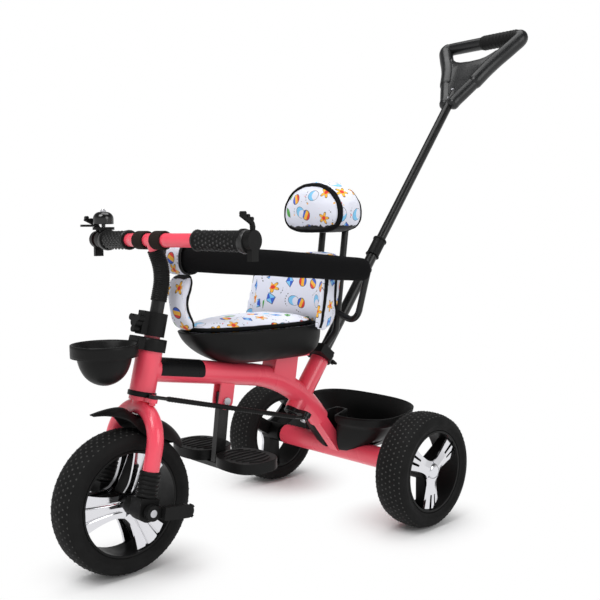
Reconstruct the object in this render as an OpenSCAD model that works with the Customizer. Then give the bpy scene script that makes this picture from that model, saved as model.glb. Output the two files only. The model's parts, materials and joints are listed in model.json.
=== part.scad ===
// Toddler push trike: a bent steel tube frame on three wheels, steered from the
// handlebar or, through a link rod, from the push handle behind the seat.
// Lengths are in millimetres. X points forward, Y to the rider's left, Z up.

/* [Wheels] */
// Outside diameter of the front tyre
front_tyre_d = 230; // [215:1:245]
// Width of the front tyre
front_tyre_w = 62; // [54:1:68]
// Outside diameter of a rear tyre
rear_tyre_d = 209; // [195:1:225]
// Width of a rear tyre
rear_tyre_w = 66; // [58:1:72]
// Depth of a tyre from its tread to its bead
tyre_depth = 31; // [28:1:36]
// Distance from the rear axle to the front axle
wheelbase = 502; // [490:1:520]
// Distance between the middles of the rear tyres
track = 408; // [396:1:424]
// Diameter of the rear axle rod
rear_axle_d = 10; // [8:0.5:12]
// Diameter of the crank axle in the front wheel
crank_axle_d = 12; // [10:0.5:14]
// Diameter of a wheel hub
hub_d = 38; // [34:1:44]
// Thickness of a chrome wheel cover
cover_t = 5; // [3:0.5:7]
// Length of a pedal crank between its two axes
crank_len = 58; // [48:1:66]

/* [Steering head and fork] */
// Angle that the steering axis leans back
head_tilt = 13.5; // [10:0.5:17]
// Diameter of the fork tube
fork_tube_d = 26; // [22:1:28]
// Free space from the side of the front tyre to a fork leg
fork_side_gap = 16; // [13:1:20]
// Free space from the front tyre up to the fork arch
fork_top_gap = 22; // [21:1:28]
// Outside diameter of the head tube
head_tube_d = 42; // [40:1:46]
// Length of the head tube
head_tube_len = 74; // [66:1:84]
// Diameter of the steerer tube that turns in the head tube
steerer_d = 26; // [25:0.5:28]
// Length of a ribbed fork boot
boot_len = 40; // [34:1:44]
// Length of the stem clamp
stem_clamp_len = 38; // [32:1:44]
// Sideways arm from the steering axis to the link rod
link_arm = 33; // [32:0.5:37]
// Width of the mudguard
mudguard_w = 66; // [56:1:68]

/* [Handlebar] */
// Diameter of the handlebar tube
bar_d = 22; // [20:0.5:24]
// Straight middle of the handlebar
bar_middle = 90; // [80:1:110]
// Length of each swept arm of the handlebar
bar_arm = 172; // [166:1:184]
// Angle that the arms sweep back
bar_sweep = 9.5; // [4:0.5:14]
// Length of a grip
grip_len = 98; // [85:1:100]
// Diameter of a grip
grip_d = 30; // [27:1:34]
// Diameter of the stem that carries the handlebar
stem_d = 22; // [20:0.5:22.5]
// Height of the stem's bend above the top of the stem clamp
stem_straight = 40; // [30:1:60]
// Radius of the stem's bend
stem_bend_r = 80; // [70:1:110]
// Angle of the stem's bend
stem_bend = 35; // [25:1:40]
// Diameter of the bell dome
bell_d = 36; // [30:1:40]

/* [Frame] */
// Diameter of the main tube
main_d = 40; // [36:1:42]
// Slope of the straight stretch of the main tube
main_slope = 9.4; // [7:0.2:11]
// Length of the straight stretch of the main tube
main_run = 221; // [214:1:228]
// Radius of the main tube's bend
main_bend_r = 260; // [250:1:275]
// Slope of the main tube after its bend
main_end_slope = 50; // [48:0.5:53]
// Diameter of the tube that holds the rear axle
axle_tube_d = 40; // [36:1:44]
// Width of the rear leg between main tube and axle tube
leg_w = 22; // [18:1:26]

/* [Push rod] */
// Angle that the push rod leans back
rod_tilt = 38; // [36:0.5:40]
// Outside diameter of the socket tube that the push rod turns in
socket_d = 36; // [33:1:40]
// Length of the socket above the main tube's middle
socket_up = 88; // [84:1:94]
// Length of the socket below the main tube's middle
socket_down = 30; // [27:1:33]
// Diameter of the lower push tube
push_tube_d = 22; // [20:0.5:24]
// Diameter of the upper push tube, which slides in the lower one
push_stem_d = 19; // [16:0.5:19.5]
// Length of the lower push tube above the socket
push_tube_rise = 280; // [240:1:320]
// Visible length of the upper push tube
push_stem_rise = 367; // [330:1:400]
// Width of the push handle
handle_w = 236; // [200:1:250]
// Height of the push handle to the middle of its grip
handle_h = 215; // [190:1:230]
// Thickness of the push handle
handle_t = 28; // [26:1:32]

/* [Seat] */
// Length of the seat pan
seat_len = 276; // [262:1:286]
// Width of the seat pan at its rear
seat_w = 204; // [180:1:214]
// Width of the seat pan at its nose
seat_nose_w = 116; // [100:1:130]
// Depth of the seat pan
seat_depth = 62; // [56:1:68]
// Wall thickness of the seat pan
seat_wall = 4; // [3:0.5:6]
// Height of the seat cushion's crown above the rim of the pan
seat_crown = 20; // [14:1:24]
// Width of the back cushion
back_w = 200; // [190:1:204]
// Height of the back cushion
back_h = 130; // [110:1:134]

/* [Guard ring and headrest] */
// Diameter of the back frame's tubes
post_d = 13; // [12:0.5:15]
// Distance between the middles of the two posts
post_spread = 60; // [56:1:66]
// Angle that the posts lean back
post_lean = 8; // [7:0.5:9]
// Width between the middles of the guard ring's sides
guard_w = 280; // [270:1:300]
// Height of the padded sleeve on the guard ring
guard_pad_h = 44; // [40:1:48]
// Thickness of the padded sleeve on the guard ring
guard_pad_t = 34; // [30:1:38]
// Width of the headrest pillow
headrest_w = 170; // [156:1:180]
// Height of the headrest pillow
headrest_h = 106; // [96:1:116]
// Thickness of the headrest pillow
headrest_t = 95; // [86:1:102]

/* [Footrest] */
// Length of a footplate along the trike
footplate_len = 88; // [76:1:100]
// Width of a footplate across the trike
footplate_w = 106; // [90:1:112]
// Thickness of a footplate
footplate_t = 18; // [14:1:22]
// Drop from the footrest bolt to the top of the footplates
footrest_drop = 86; // [80:1:92]
// Width of the footrest post
footrest_post_w = 21; // [18:1:24]

/* [Baskets] */
// Diameter of the front bowl's rim
bowl_d = 104; // [96:1:112]
// Depth of the front bowl
bowl_depth = 64; // [56:1:70]
// Length of the rear tub along the trike
tub_len = 144; // [130:1:150]
// Width of the rear tub
tub_w = 276; // [250:1:290]
// Depth of the rear tub
tub_depth = 82; // [74:1:88]
// Wall thickness of both baskets
basket_wall = 3; // [2.5:0.5:4]

/* [Hidden] */

pink = [0.87, 0.31, 0.37];
black = [0.13, 0.13, 0.13];
grey = [0.25, 0.25, 0.25];
steel = [0.75, 0.75, 0.77];
cloth = [0.93, 0.93, 0.96];
$fn = 48;

// Overrun of every cut past the face that it opens
cut = 1;
// Weld band of a bent tube: half its length, its rise, and the gap that it fills
weld_half = 1.5;
weld_rise = 0.4;
weld_in = 0.4;
// Gap between two pieces that are fastened together
seat_gap = 0.15;
least_share = 0.02;
knob_core_share = 0.75;
link_in_share = 0.7;
link_neck_share = 0.66;
guard_square = 2.6;
// Gap between pieces that move past each other
move_gap = 0.5;
// Radial play of a shaft that turns or slides in its hole
run_play = 0.08;

// Wheels, in shares and small sizes
front_r = front_tyre_d / 2;
rear_r = rear_tyre_d / 2;
tyre_crown_share = 0.68;
rim_t = 3.5;
rim_inset = 5;
spoke_half_w = 13;
rear_turn = 90;
spoke_t = 20;
cover_recess = 15;
cover_spoke_root_share = 0.30;
cover_spoke_waist_share = 0.24;
cover_prong_share = 0.42;
cover_prong_foot_share = 0.12;
cover_notch_share = 0.62;
cover_waist_at_share = 0.45;
dome_rise = 14;
dome_wall = 4;
nut_d = 17;
nut_t = 7;
rear_hub_in = 34;
bush_flange_t = 9;
bush_flange_d = 30;
bush_sleeve_len = 24;

// Fork and head, measured up the steering axis from the front axle
fork_half = front_tyre_w / 2 + fork_side_gap + fork_tube_d / 2;
arch_top = front_r + fork_top_gap + fork_tube_d / 2;
arch_mid = arch_top - fork_half;
crown_t = 6;
crown_bite = 3;
crown_d = 40;
crown_top = arch_top + fork_tube_d / 2 - crown_bite + crown_t;
cup_h = 8;
cup_d = 46;
head_low = crown_top + move_gap + cup_h;
head_high = head_low + head_tube_len;
head_bore_d = head_tube_d - 8;
head_sleeve_len = 15;
bowl_ring_h = 21;
bowl_ring_over = 9;
bowl_ring_t = 4;
bowl_ring_low = head_high - bowl_ring_over;
bowl_ring_high = bowl_ring_low + bowl_ring_h;
clamp_low = bowl_ring_high + 6 * move_gap;
clamp_high = clamp_low + stem_clamp_len;
stem_clamp_d = 38;
clamp_lip = 3;
knob_boss_out = 9;
knob_boss_w = 17;
knob_screw_d = 6;
knob_d = 24;
knob_t = 11;
knob_lobe_d = 11;
knob_at_share = 0.5;
foot_w = 28;
foot_r = 17;
foot_top = 19;
slider_d = 21;
boot_d = 33;
boot_waist_d = 29;
boot_ribs = 6;
boot_high = foot_top + boot_len;
link_bolt_d = 6;
link_eye_d = 15;
link_eye_t = 6;
link_rod_d = 9;
link_lift = link_eye_t / 2 + move_gap;
bolt_head_d = 10;
bolt_head_t = 4;
mud_t = 2.5;
mud_gap = 17.5;
mud_front_rise = 20;
mud_rear_rise = 12;
mud_front_angle = 57;
mud_rear_angle = 131;
mud_drop = 26;
mud_tip_share = 0.16;
mud_tail_share = 0.72;
mud_boss_d = 16;
mud_boss_gap = 0.9;

// Stem and handlebar, in the plane of the steering axis
stem_insert = 110;
stem_bend_low = clamp_high + stem_straight;
stem_top_len = 32;
stem_stub_len = 16;
sleeve_low = clamp_high + 19;
sleeve_rib_d = 27;
sleeve_ribs = 26;
sleeve_root_d = 25;
sleeve_play = 0.4;
bar_bend_r = 60;
foam_d = 30;
left_grip_at = 60;
right_grip_at = 26;
grip_flange_d = 35;
grip_flange_t = 6;
horn_collar_d = 31;
horn_collar_len = 12;
horn_blade_drop = 30;
horn_blade_w = 15;
horn_blade_t = 9;
horn_arm_d = 8;
horn_bump_d = 6;
horn_bump_w = 9;
horn_bump_out = 3.5;
horn_knee_share = 0.68;
horn_bend_r = 9;
horn_arm_rise = 37;
horn_arm_reach = 24;
horn_bumps = 3;
horn_bump_back_share = 0.4;
bell_clamp_d = 31;
bell_clamp_w = 16;
bell_dome_h = 22;
bell_round_share = 0.35;
bell_stalk_d = 14;
bell_plate_d = 38;
bell_plate_t = 5;
bell_lift = 17;
bell_wall = 2;
bell_lever_len = 26;
bell_lever_w = 9;
bell_lever_t = 4;
bell_pin_d = 4;

// Main tube, in the middle plane
main_up = 35.5;
main_s = head_low + main_up;
main_tail = 22;
socket_angle = 40;
leg_foot_x = 12;
leg_foot_up = 6;
leg_t = 22;
seat_from_head = 214;
seat_lift = 5;
seat_shift = 14;
bracket_w = 36;
bracket_front_angle = 18;
bracket_rear_angle = 31;
bracket_plate_t = 4;
bracket_plate_len = 82;
foot_bracket_at = 164;
foot_bracket_w = 30;
foot_bracket_t = 3;
foot_bracket_drop = 28;
foot_bracket_inside = 14;
footrest_bolt_d = 8;
footrest_lead = 13;
footrest_post_t = 12;
footrest_gap = 18;
footrest_bar_t = 8;
footrest_bar_w = 24;
footplate_square = 2.6;
footplate_back = 13;
footrest_post_over = 15;

// Push rod, measured along its axis from the main tube's middle
lever_t = 8;
lever_hub_d = 34;
lever_arm_w = 18;
lever_top = -socket_down - move_gap;
lever_pin_d = 6;
link_rear_play = 1.4;
push_low = lever_top - lever_t - 2;
push_high = socket_up + push_tube_rise;
push_stem_insert = 200;
collar_len = 41;
collar_d = 26;
collar_lip_d = 29;
collar_lip_t = 4;
collar_over = 3;
handle_low = push_high + push_stem_rise;
handle_lean = 3;
handle_bore_depth = 45;
handle_bar_d = 34;
handle_arch = 14;
handle_arch_r = 120;
handle_flat_share = 0.22;
handle_web_share = 0.4;

// Rear clamp and back frame
clamp_h = 18;
clamp_over = 6;
clamp_ring_d = 44;
clamp_lug_share = 0.75;
clamp_lug_x = 34;
post_ahead = 23;
post_foot_y = 20;
post_rise = 52;
post_top_z = 556;
clamp_screw_d = 6;
clamp_wing_w = 24;
clamp_wing_t = 4;
clamp_wing_h = 13;
clamp_screw_len = 14;
guard_back_x = 49;
guard_back_y = 115;
guard_back_z = 466;
guard_front_x = 378;
guard_front_z = 494;
guard_corner_r = 130;
guard_pad_start = 12;
weld_over = 2;
guard_tube_d = post_d - 1;
hook_y = 86;
hook_z = 366;
hook_r = 26;
hook_post_z = 382;
guard_steps = 10;
guard_sides = 12;
guard_tunnel = 1.2;
loop_w = 36;
loop_t = 4;
loop_gap = 1.6;
crotch_w = 54;
crotch_t = 20;
crotch_bulge = 13;
crotch_out = 2;
crotch_lift = 4;
crotch_taper_share = 0.22;
crotch_end_share = 0.9;

// Seat
rings_n = 28;
pan_lip = 6;
cushion_gap = 0.8;
cushion_square = 2.6;
back_t = 70;
back_wrap_power = 2.2;
back_end_share = 0.55;
back_end_tall_share = 0.8;
back_drop_share = 0.22;
back_shear_share = 0.14;
back_tip_t = 34;
back_seat = 6.5;
back_wrap = 70;
back_square = 3.2;
back_steps = 12;
headrest_square = 3.2;
headrest_behind = 9;
headrest_low_z = 530;

// Baskets
bowl_ahead = 84;
bowl_band = 20;
bowl_lip = 2;
tub_back = 32;
tub_hang = 16.5;
tub_rise_share = 0.14;
tub_floor_share = 0.27;
tub_square = 2.8;
leg_room = 2;
notch_flare = 1.4;
tub_hub_share = 0.96;

// Middle of the whole trike along X, which the origin stands under
handle_bar_s = handle_low + handle_h * cos(handle_lean);
handle_bar_x = -handle_h * sin(handle_lean);

// Points in the middle plane, as [x, z]
function head_point(x, s) = [
  wheelbase + x * cos(head_tilt) - s * sin(head_tilt),
  front_r + x * sin(head_tilt) + s * cos(head_tilt)
];
main_start = head_point(0, main_s);
main_turn = main_start - main_run * [cos(main_slope), sin(main_slope)];
function main_arc(a) = main_turn - main_bend_r * [
  sin(a) - sin(main_slope), cos(main_slope) - cos(a)
];
main_bend_end = main_arc(main_end_slope);
main_end = main_bend_end - main_tail * [cos(main_end_slope), sin(main_end_slope)];
main_tangent = main_bend_r * tan((main_end_slope - main_slope) / 2);
main_corner = main_turn - main_tangent * [cos(main_slope), sin(main_slope)];
rod_origin = main_arc(socket_angle);
function rod_point(x, s) = [
  rod_origin[0] + x * cos(rod_tilt) - s * sin(rod_tilt),
  rod_origin[1] + x * sin(rod_tilt) + s * cos(rod_tilt)
];
front_end = wheelbase + front_r;
rear_end = rod_point(handle_bar_x, handle_bar_s)[0] - handle_bar_d / 2;
middle_x = (front_end + rear_end) / 2;

// Link rod: both ends and the lever arm that turns the fork one to one
link_front = head_point(0, crown_top + link_lift);
link_rear = rod_point(0, lever_top - lever_t - link_lift);
link_run = link_rear - link_front;
lever_arm = link_arm * (cos(head_tilt) * link_run[0] + sin(head_tilt) * link_run[1])
  / (cos(rod_tilt) * link_run[0] + sin(rod_tilt) * link_run[1]);

clamp_bottom = socket_up - clamp_over;

// Seat, footrest and back frame places that follow the main tube
seat_x = main_start[0] - seat_from_head;
seat_low = main_start[1] - seat_from_head * tan(main_slope) + main_d / 2 / cos(main_slope) + seat_lift;
seat_rim = seat_low + seat_depth;
foot_bolt = main_start - foot_bracket_at * [cos(main_slope), sin(main_slope)]
  - (main_d / 2 + foot_bracket_drop) * [-sin(main_slope), cos(main_slope)];
footplate_x = foot_bolt[0] + footrest_lead;
footplate_top = foot_bolt[1] - footrest_drop;
post_knee = rod_point(post_ahead, clamp_bottom + post_rise);
function post_x(z) = post_knee[0] - (z - post_knee[1]) * tan(post_lean);
back_low = seat_rim + 2 * seat_gap;
back_off_post = post_d / 2 / cos(post_lean) + back_t / 2 - back_seat;

function sum(l, i = 0) = i == len(l) - 1 ? l[i] : l[i] + sum(l, i + 1);
function mean(l) = sum(l) / len(l);
function flat(l) = [for (a = l) for (b = a) b];
function unit(v) = v / norm(v);
function lifted(p, y = 0) = [p[0], y, p[1]];
function bulge(c, square) = sign(c) * pow(abs(c), 2 / square);
function smooth(t) = t * t * (3 - 2 * t);

// Closed skin through a list of rings, each running right-handed about the way they go
module loft(rings, hub_share = 0) {
  n = len(rings[0]);
  m = len(rings);
  sides = [for (i = [0 : m - 2]) for (j = [0 : n - 1])
    let (a = i * n + j, b = i * n + (j + 1) % n)
    each [[a, a + n, b + n], [a, b + n, b]]];
  first_cap = [for (j = [0 : n - 1]) [m * n, j, (j + 1) % n]];
  last_cap = [for (j = [0 : n - 1])
    [m * n + 1, (m - 1) * n + (j + 1) % n, (m - 1) * n + j]];
  polyhedron(
    points = concat(flat(rings), [for (r = [rings[0], rings[m - 1]]) mean(r) + hub_share * (r[0] - mean(r))]),
    faces = concat(sides, first_cap, last_cap));
}

// Closed skin with a tunnel, from outer rings and as many inner rings
module tunnel_loft(outer, inner) {
  n = len(outer[0]);
  m = len(outer);
  k = n * m;
  sides = [for (i = [0 : m - 2]) for (j = [0 : n - 1])
    let (a = i * n + j, b = i * n + (j + 1) % n)
    each [[a, a + n, b + n], [a, b + n, b],
          [k + a, k + b + n, k + a + n], [k + a, k + b, k + b + n]]];
  ends = [for (j = [0 : n - 1]) let (b = (j + 1) % n, e = n * (m - 1))
    each [[j, b, k + b], [j, k + b, k + j],
          [e + j, k + e + b, e + b], [e + j, k + e + j, k + e + b]]];
  polyhedron(points = concat(flat(outer), flat(inner)), faces = concat(sides, ends));
}

// Rod between two points, with the side that its surface starts from
module rod(p, q, d, start = [0, 0, 0]) {
  u = unit(q - p);
  side = norm(start) > 0 ? unit(start)
    : abs(u[2]) < 0.9 ? unit(cross(u, [0, 0, 1])) : unit(cross(u, [0, 1, 0]));
  other = cross(u, side);
  multmatrix([
    [side[0], other[0], u[0], p[0]],
    [side[1], other[1], u[1], p[1]],
    [side[2], other[2], u[2], p[2]],
    [0, 0, 0, 1]]) cylinder(d = d, h = norm(q - p));
}

// Length of straight tube that a bend at point i takes from each side
function bend_take(pts, radii, i) = i == 0 || i == len(pts) - 1 ? 0
  : let (u = unit(pts[i] - pts[i - 1]), v = unit(pts[i + 1] - pts[i]))
    radii[i] * tan(acos(u * v) / 2);

// Bent tube through points, with a bend radius at each inner point and a thin
// weld band where each bend meets the straight tube
module bent_tube(pts, radii, d) {
  last = len(pts) - 1;
  for (i = [0 : last - 1]) {
    u = unit(pts[i + 1] - pts[i]);
    rod(pts[i] + (bend_take(pts, radii, i) + (i > 0 ? weld_in : 0)) * u,
      pts[i + 1] - (bend_take(pts, radii, i + 1) + (i < last - 1 ? weld_in : 0)) * u, d);
  }
  for (i = [1 : last - 1]) {
    u = unit(pts[i] - pts[i - 1]);
    v = unit(pts[i + 1] - pts[i]);
    inward = unit(v - (u * v) * u);
    axis = cross(u, inward);
    from = pts[i] - bend_take(pts, radii, i) * u;
    to = pts[i] + bend_take(pts, radii, i) * v;
    middle = from + radii[i] * inward;
    multmatrix([
      [-inward[0], u[0], axis[0], middle[0]],
      [-inward[1], u[1], axis[1], middle[1]],
      [-inward[2], u[2], axis[2], middle[2]],
      [0, 0, 0, 1]])
      rotate_extrude(angle = acos(u * v)) translate([radii[i], 0]) circle(d = d);
    rod(from - weld_half * u, from + weld_half * u, d + weld_rise);
    rod(to - weld_half * v, to + weld_half * v, d + weld_rise);
  }
}

module both_sides() {
  children();
  mirror([0, 1, 0]) children();
}

// Local frames: steering axis, push rod axis, straight main tube, handlebar arm
module at_head() {
  translate([wheelbase, 0, front_r]) rotate([0, -head_tilt, 0]) children();
}

module at_rod() {
  translate(lifted(rod_origin)) rotate([0, -rod_tilt, 0]) children();
}

module at_main(run) {
  translate(lifted(main_start - run * [cos(main_slope), sin(main_slope)]))
    rotate([0, -main_slope, 0]) children();
}

stem_arc_end = [stem_bend_r * (1 - cos(stem_bend)), stem_bend_low + stem_bend_r * sin(stem_bend)];
bar_point = stem_arc_end + stem_top_len * [sin(stem_bend), cos(stem_bend)];
stem_end = bar_point - stem_stub_len * [sin(stem_bend), cos(stem_bend)];

module at_bar() {
  at_head() translate([bar_point[0], 0, bar_point[1]]) rotate([0, head_tilt, 0]) children();
}

module at_bar_arm(side) {
  mirror([0, side < 0 ? 1 : 0, 0])
    at_bar() translate([0, bar_middle / 2, 0]) rotate([0, 0, bar_sweep]) rotate([-90, 0, 0]) children();
}

module at_rear_wheel(side) {
  translate([0, side * track / 2, rear_r]) mirror([0, side < 0 ? 1 : 0, 0]) children();
}

module at_front_wheel() {
  translate([wheelbase, 0, front_r]) children();
}

// Solid of revolution about Y, from y = low to y = high
module disc_y(d, low, high) {
  translate([0, low, 0]) rotate([-90, 0, 0]) cylinder(d = d, h = high - low);
}

// Frame
module main_tube() {
  bent_tube([lifted(main_start), lifted(main_corner), lifted(main_end)], [0, main_bend_r, 0], main_d);
}

module rear_leg() {
  foot = [leg_foot_x, rear_r + leg_foot_up];
  run = main_bend_end - foot;
  translate([foot[0], 0, foot[1]]) rotate([0, atan2(run[0], run[1]), 0])
    translate([-leg_w / 2, -leg_t / 2, 0]) cube([leg_w, leg_t, norm(run)]);
}

module seat_bracket() {
  low = main_arc(bracket_rear_angle);
  high = main_arc(bracket_front_angle);
  top = seat_low - seat_gap;
  translate([0, bracket_w / 2, 0]) rotate([90, 0, 0]) linear_extrude(bracket_w)
    polygon([low, high, [high[0] - main_d / 4, top], [low[0] - main_d / 4, top]]);
  translate([high[0] - main_d / 4 - bracket_plate_len, -bracket_w / 2, top - bracket_plate_t])
    cube([bracket_plate_len, bracket_w, bracket_plate_t]);
}

module footrest_bracket() {
  drop = main_d / 2 + foot_bracket_drop;
  both_sides() at_main(foot_bracket_at) translate([0, foot_bracket_inside / 2, 0]) difference() {
    union() {
      translate([-foot_bracket_w / 2, 0, -drop])
        cube([foot_bracket_w, foot_bracket_t, drop - main_d / 4]);
      translate([0, 0, -drop]) rotate([-90, 0, 0]) cylinder(d = foot_bracket_w, h = foot_bracket_t);
    }
    translate([0, -cut, -drop]) rotate([-90, 0, 0])
      cylinder(d = footrest_bolt_d + 2 * run_play, h = foot_bracket_t + 2 * cut);
  }
}

axle_tube_half = track / 2 - rear_hub_in - bush_flange_t - move_gap;

module frame() {
  color(pink) difference() {
    union() {
      main_tube();
      at_head() translate([0, 0, head_low]) cylinder(d = head_tube_d, h = head_tube_len);
      rear_leg();
      translate([0, 0, rear_r]) disc_y(axle_tube_d, -axle_tube_half, axle_tube_half);
      at_rod() translate([0, 0, -socket_down]) cylinder(d = socket_d, h = socket_up + socket_down);
      seat_bracket();
      footrest_bracket();
    }
    at_head() translate([0, 0, head_low - cut]) cylinder(d = head_bore_d, h = head_tube_len + 2 * cut);
    translate([0, 0, rear_r])
      disc_y(bush_sleeve_d(), -axle_tube_half - cut, axle_tube_half + cut);
    at_rod() translate([0, 0, -socket_down - cut])
      cylinder(d = push_tube_d + 2 * run_play, h = socket_up + socket_down + 2 * cut);
  }
}

function bush_sleeve_d() = axle_tube_d - 12;

module head_bushes() {
  bore = steerer_d + 2 * run_play;
  sleeve = head_bore_d - 2 * seat_gap;
  color(black) at_head() {
    difference() {
      union() {
        translate([0, 0, head_low - cup_h]) cylinder(d = cup_d, h = cup_h - seat_gap);
        translate([0, 0, head_low - cup_h]) cylinder(d = sleeve, h = cup_h + head_sleeve_len);
      }
      translate([0, 0, head_low - cup_h - cut]) cylinder(d = bore, h = cup_h + head_sleeve_len + 2 * cut);
    }
    difference() {
      translate([0, 0, head_high - head_sleeve_len]) cylinder(d = sleeve, h = head_sleeve_len);
      translate([0, 0, head_high - head_sleeve_len - cut]) cylinder(d = bore, h = head_sleeve_len + 2 * cut);
    }
  }
}

// Rear axle group
module rear_axle() {
  half = track / 2 + cover_recess + nut_t + move_gap;
  color(steel) translate([0, 0, rear_r]) disc_y(rear_axle_d, -half, half);
}

module axle_bushes() {
  color(black) both_sides() translate([0, 0, rear_r]) difference() {
    union() {
      disc_y(bush_flange_d, axle_tube_half + seat_gap, axle_tube_half + bush_flange_t);
      disc_y(bush_sleeve_d() - 2 * seat_gap, axle_tube_half - bush_sleeve_len, axle_tube_half + bush_flange_t);
    }
    disc_y(rear_axle_d + 2 * seat_gap, axle_tube_half - bush_sleeve_len - cut,
      axle_tube_half + bush_flange_t + cut);
  }
}

module axle_nuts() {
  low = track / 2 + cover_recess + move_gap;
  color(steel) both_sides() translate([0, 0, rear_r]) difference() {
    translate([0, low, 0]) rotate([-90, 0, 0]) cylinder(d = nut_d, h = nut_t, $fn = 6);
    disc_y(rear_axle_d + 2 * seat_gap, low - cut, low + nut_t + cut);
  }
}

// Wheels: tread, core and chrome cover, each about its own axle
module tyre(d, w) {
  crown_r = w * tyre_crown_share;
  rotate([90, 0, 0]) rotate_extrude($fn = 96) intersection() {
    translate([d / 2 - crown_r, 0]) circle(crown_r);
    translate([d / 2 - tyre_depth, -w / 2]) square([tyre_depth, w]);
  }
}

module wheel_core(d, w, hub_low, hub_high, bore) {
  bead_r = d / 2 - tyre_depth - seat_gap;
  half = w / 2 - rim_inset;
  difference() {
    union() {
      rotate([90, 0, 0]) rotate_extrude($fn = 96)
        translate([bead_r - rim_t, -half]) square([rim_t, 2 * half]);
      disc_y(hub_d, hub_low, hub_high);
      for (a = [0 : 120 : 240]) rotate([0, a, 0])
        translate([hub_d / 4, cover_recess - spoke_t, -spoke_half_w])
          cube([bead_r - rim_t / 2 - hub_d / 4, spoke_t, 2 * spoke_half_w]);
    }
    disc_y(bore, hub_low - cut, hub_high + cut);
  }
}

// Three broad spokes that each fork into two prongs
module cover_outline(reach) {
  circle(d = hub_d);
  for (a = [0 : 120 : 240]) rotate(a) polygon([for (m = [1, -1], p = m > 0 ? [0 : 4] : [4 : -1 : 0])
    let (at = [0, cover_waist_at_share, 1, 1, cover_notch_share][p] * reach,
         half = [cover_spoke_root_share, cover_spoke_waist_share, cover_prong_share,
                 cover_prong_foot_share, 0][p] * reach)
    if (!(p == 4 && m < 0)) [at, m * half]]);
}

module wheel_cover(d, dome_bore) {
  reach = (d / 2 - tyre_depth - rim_t - seat_gap - move_gap) * cos(atan(cover_prong_share));
  low = cover_recess + seat_gap;
  translate([0, low, 0]) rotate([-90, 0, 0]) difference() {
    union() {
      linear_extrude(cover_t) cover_outline(reach);
      intersection() {
        cylinder(d = hub_d, h = dome_rise);
        translate([0, 0, dome_rise - hub_d]) sphere(r = hub_d);
      }
    }
    translate([0, 0, -cut]) cylinder(d = dome_bore, h = dome_rise - dome_wall + cut);
  }
}

module front_tyre() {
  color(grey) at_front_wheel() tyre(front_tyre_d, front_tyre_w);
}

front_hub_half = fork_half - foot_w / 2 - move_gap;

module front_rim() {
  bead_r = front_r - tyre_depth - seat_gap;
  half = front_tyre_w / 2 - rim_inset;
  color(black) at_front_wheel() difference() {
    union() {
      rotate([90, 0, 0]) rotate_extrude($fn = 96)
        translate([bead_r - rim_t, -half]) square([rim_t, 2 * half]);
      disc_y(hub_d - dome_wall * 2, -front_hub_half, front_hub_half);
      for (a = [0 : 120 : 240]) rotate([0, a, 0])
        translate([hub_d / 4, -cover_recess, -spoke_half_w])
          cube([bead_r - rim_t / 2 - hub_d / 4, 2 * cover_recess, 2 * spoke_half_w]);
    }
    disc_y(crank_axle_d + 2 * seat_gap, -front_hub_half - cut, front_hub_half + cut);
  }
}

module front_cover() {
  reach = (front_r - tyre_depth - rim_t - seat_gap - move_gap) * cos(atan(cover_prong_share));
  low = cover_recess + seat_gap;
  translate([0, low, 0]) rotate([-90, 0, 0]) difference() {
    union() {
      linear_extrude(cover_t) cover_outline(reach);
      cylinder(d1 = hub_d, d2 = hub_d - dome_wall, h = dome_rise);
    }
    translate([0, 0, -cut]) cylinder(d = hub_d - 2 * dome_wall + 2 * seat_gap, h = dome_rise + 2 * cut);
  }
}

module front_cover_left() {
  color(steel) at_front_wheel() front_cover();
}

module front_cover_right() {
  color(steel) at_front_wheel() mirror([0, 1, 0]) front_cover();
}

crank_low = fork_half + max(foot_w, boot_d) / 2 + 2 * move_gap;
crank_t = 10;
crank_boss_d = 24;
crank_tip_d = 16;
crank_angle = 8;
pedal_pin_d = 8;
pedal_t = 9;
pedal_len = 44;
pedal_w = 20;

module crank_axle() {
  half = crank_low + crank_t;
  color(steel) at_front_wheel() disc_y(crank_axle_d, -half, half);
}

// Crank arm along X from the axle, with a pin for the pedal at its tip
module crank() {
  difference() {
    union() {
      disc_y(crank_boss_d, crank_low, crank_low + crank_t);
      translate([crank_len, 0, 0]) disc_y(crank_tip_d, crank_low, crank_low + crank_t);
      translate([0, crank_low, -crank_tip_d / 2]) cube([crank_len, crank_t, crank_tip_d]);
      translate([crank_len, 0, 0]) disc_y(pedal_pin_d, crank_low, crank_low + crank_t + move_gap + pedal_t);
    }
    disc_y(crank_axle_d + 2 * seat_gap, crank_low - cut, crank_low + crank_t + cut);
  }
}

// Folded pedal that lies along its crank and turns on the crank's pin
module pedal() {
  low = crank_low + crank_t + move_gap;
  difference() {
    translate([crank_len, low, 0]) rotate([-90, 0, 0]) linear_extrude(pedal_t) {
      circle(d = pedal_w);
      translate([-pedal_len, -pedal_w / 2]) square([pedal_len, pedal_w]);
      for (a = [45, 135]) rotate(a) square([pedal_w + pedal_t / 2, pedal_t / 2], center = true);
    }
    translate([crank_len, 0, 0]) disc_y(pedal_pin_d + 2 * run_play, low - cut, low + pedal_t + cut);
  }
}

module left_crank_frame() {
  at_front_wheel() rotate([0, 180 - crank_angle, 0]) children();
}

module right_crank_frame() {
  at_front_wheel() rotate([0, -crank_angle, 0]) mirror([0, 1, 0]) children();
}

module left_crank() {
  color(black) left_crank_frame() crank();
}

module right_crank() {
  color(black) right_crank_frame() crank();
}

module left_pedal() {
  color(black) left_crank_frame() pedal();
}

module right_pedal() {
  color(black) right_crank_frame() pedal();
}

module rear_tyre(side) {
  color(grey) at_rear_wheel(side) tyre(rear_tyre_d, rear_tyre_w);
}

module rear_rim(side) {
  color(black) at_rear_wheel(side) rotate([0, rear_turn, 0])
    wheel_core(rear_tyre_d, rear_tyre_w, -rear_hub_in, cover_recess, rear_axle_d + 2 * run_play);
}

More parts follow.
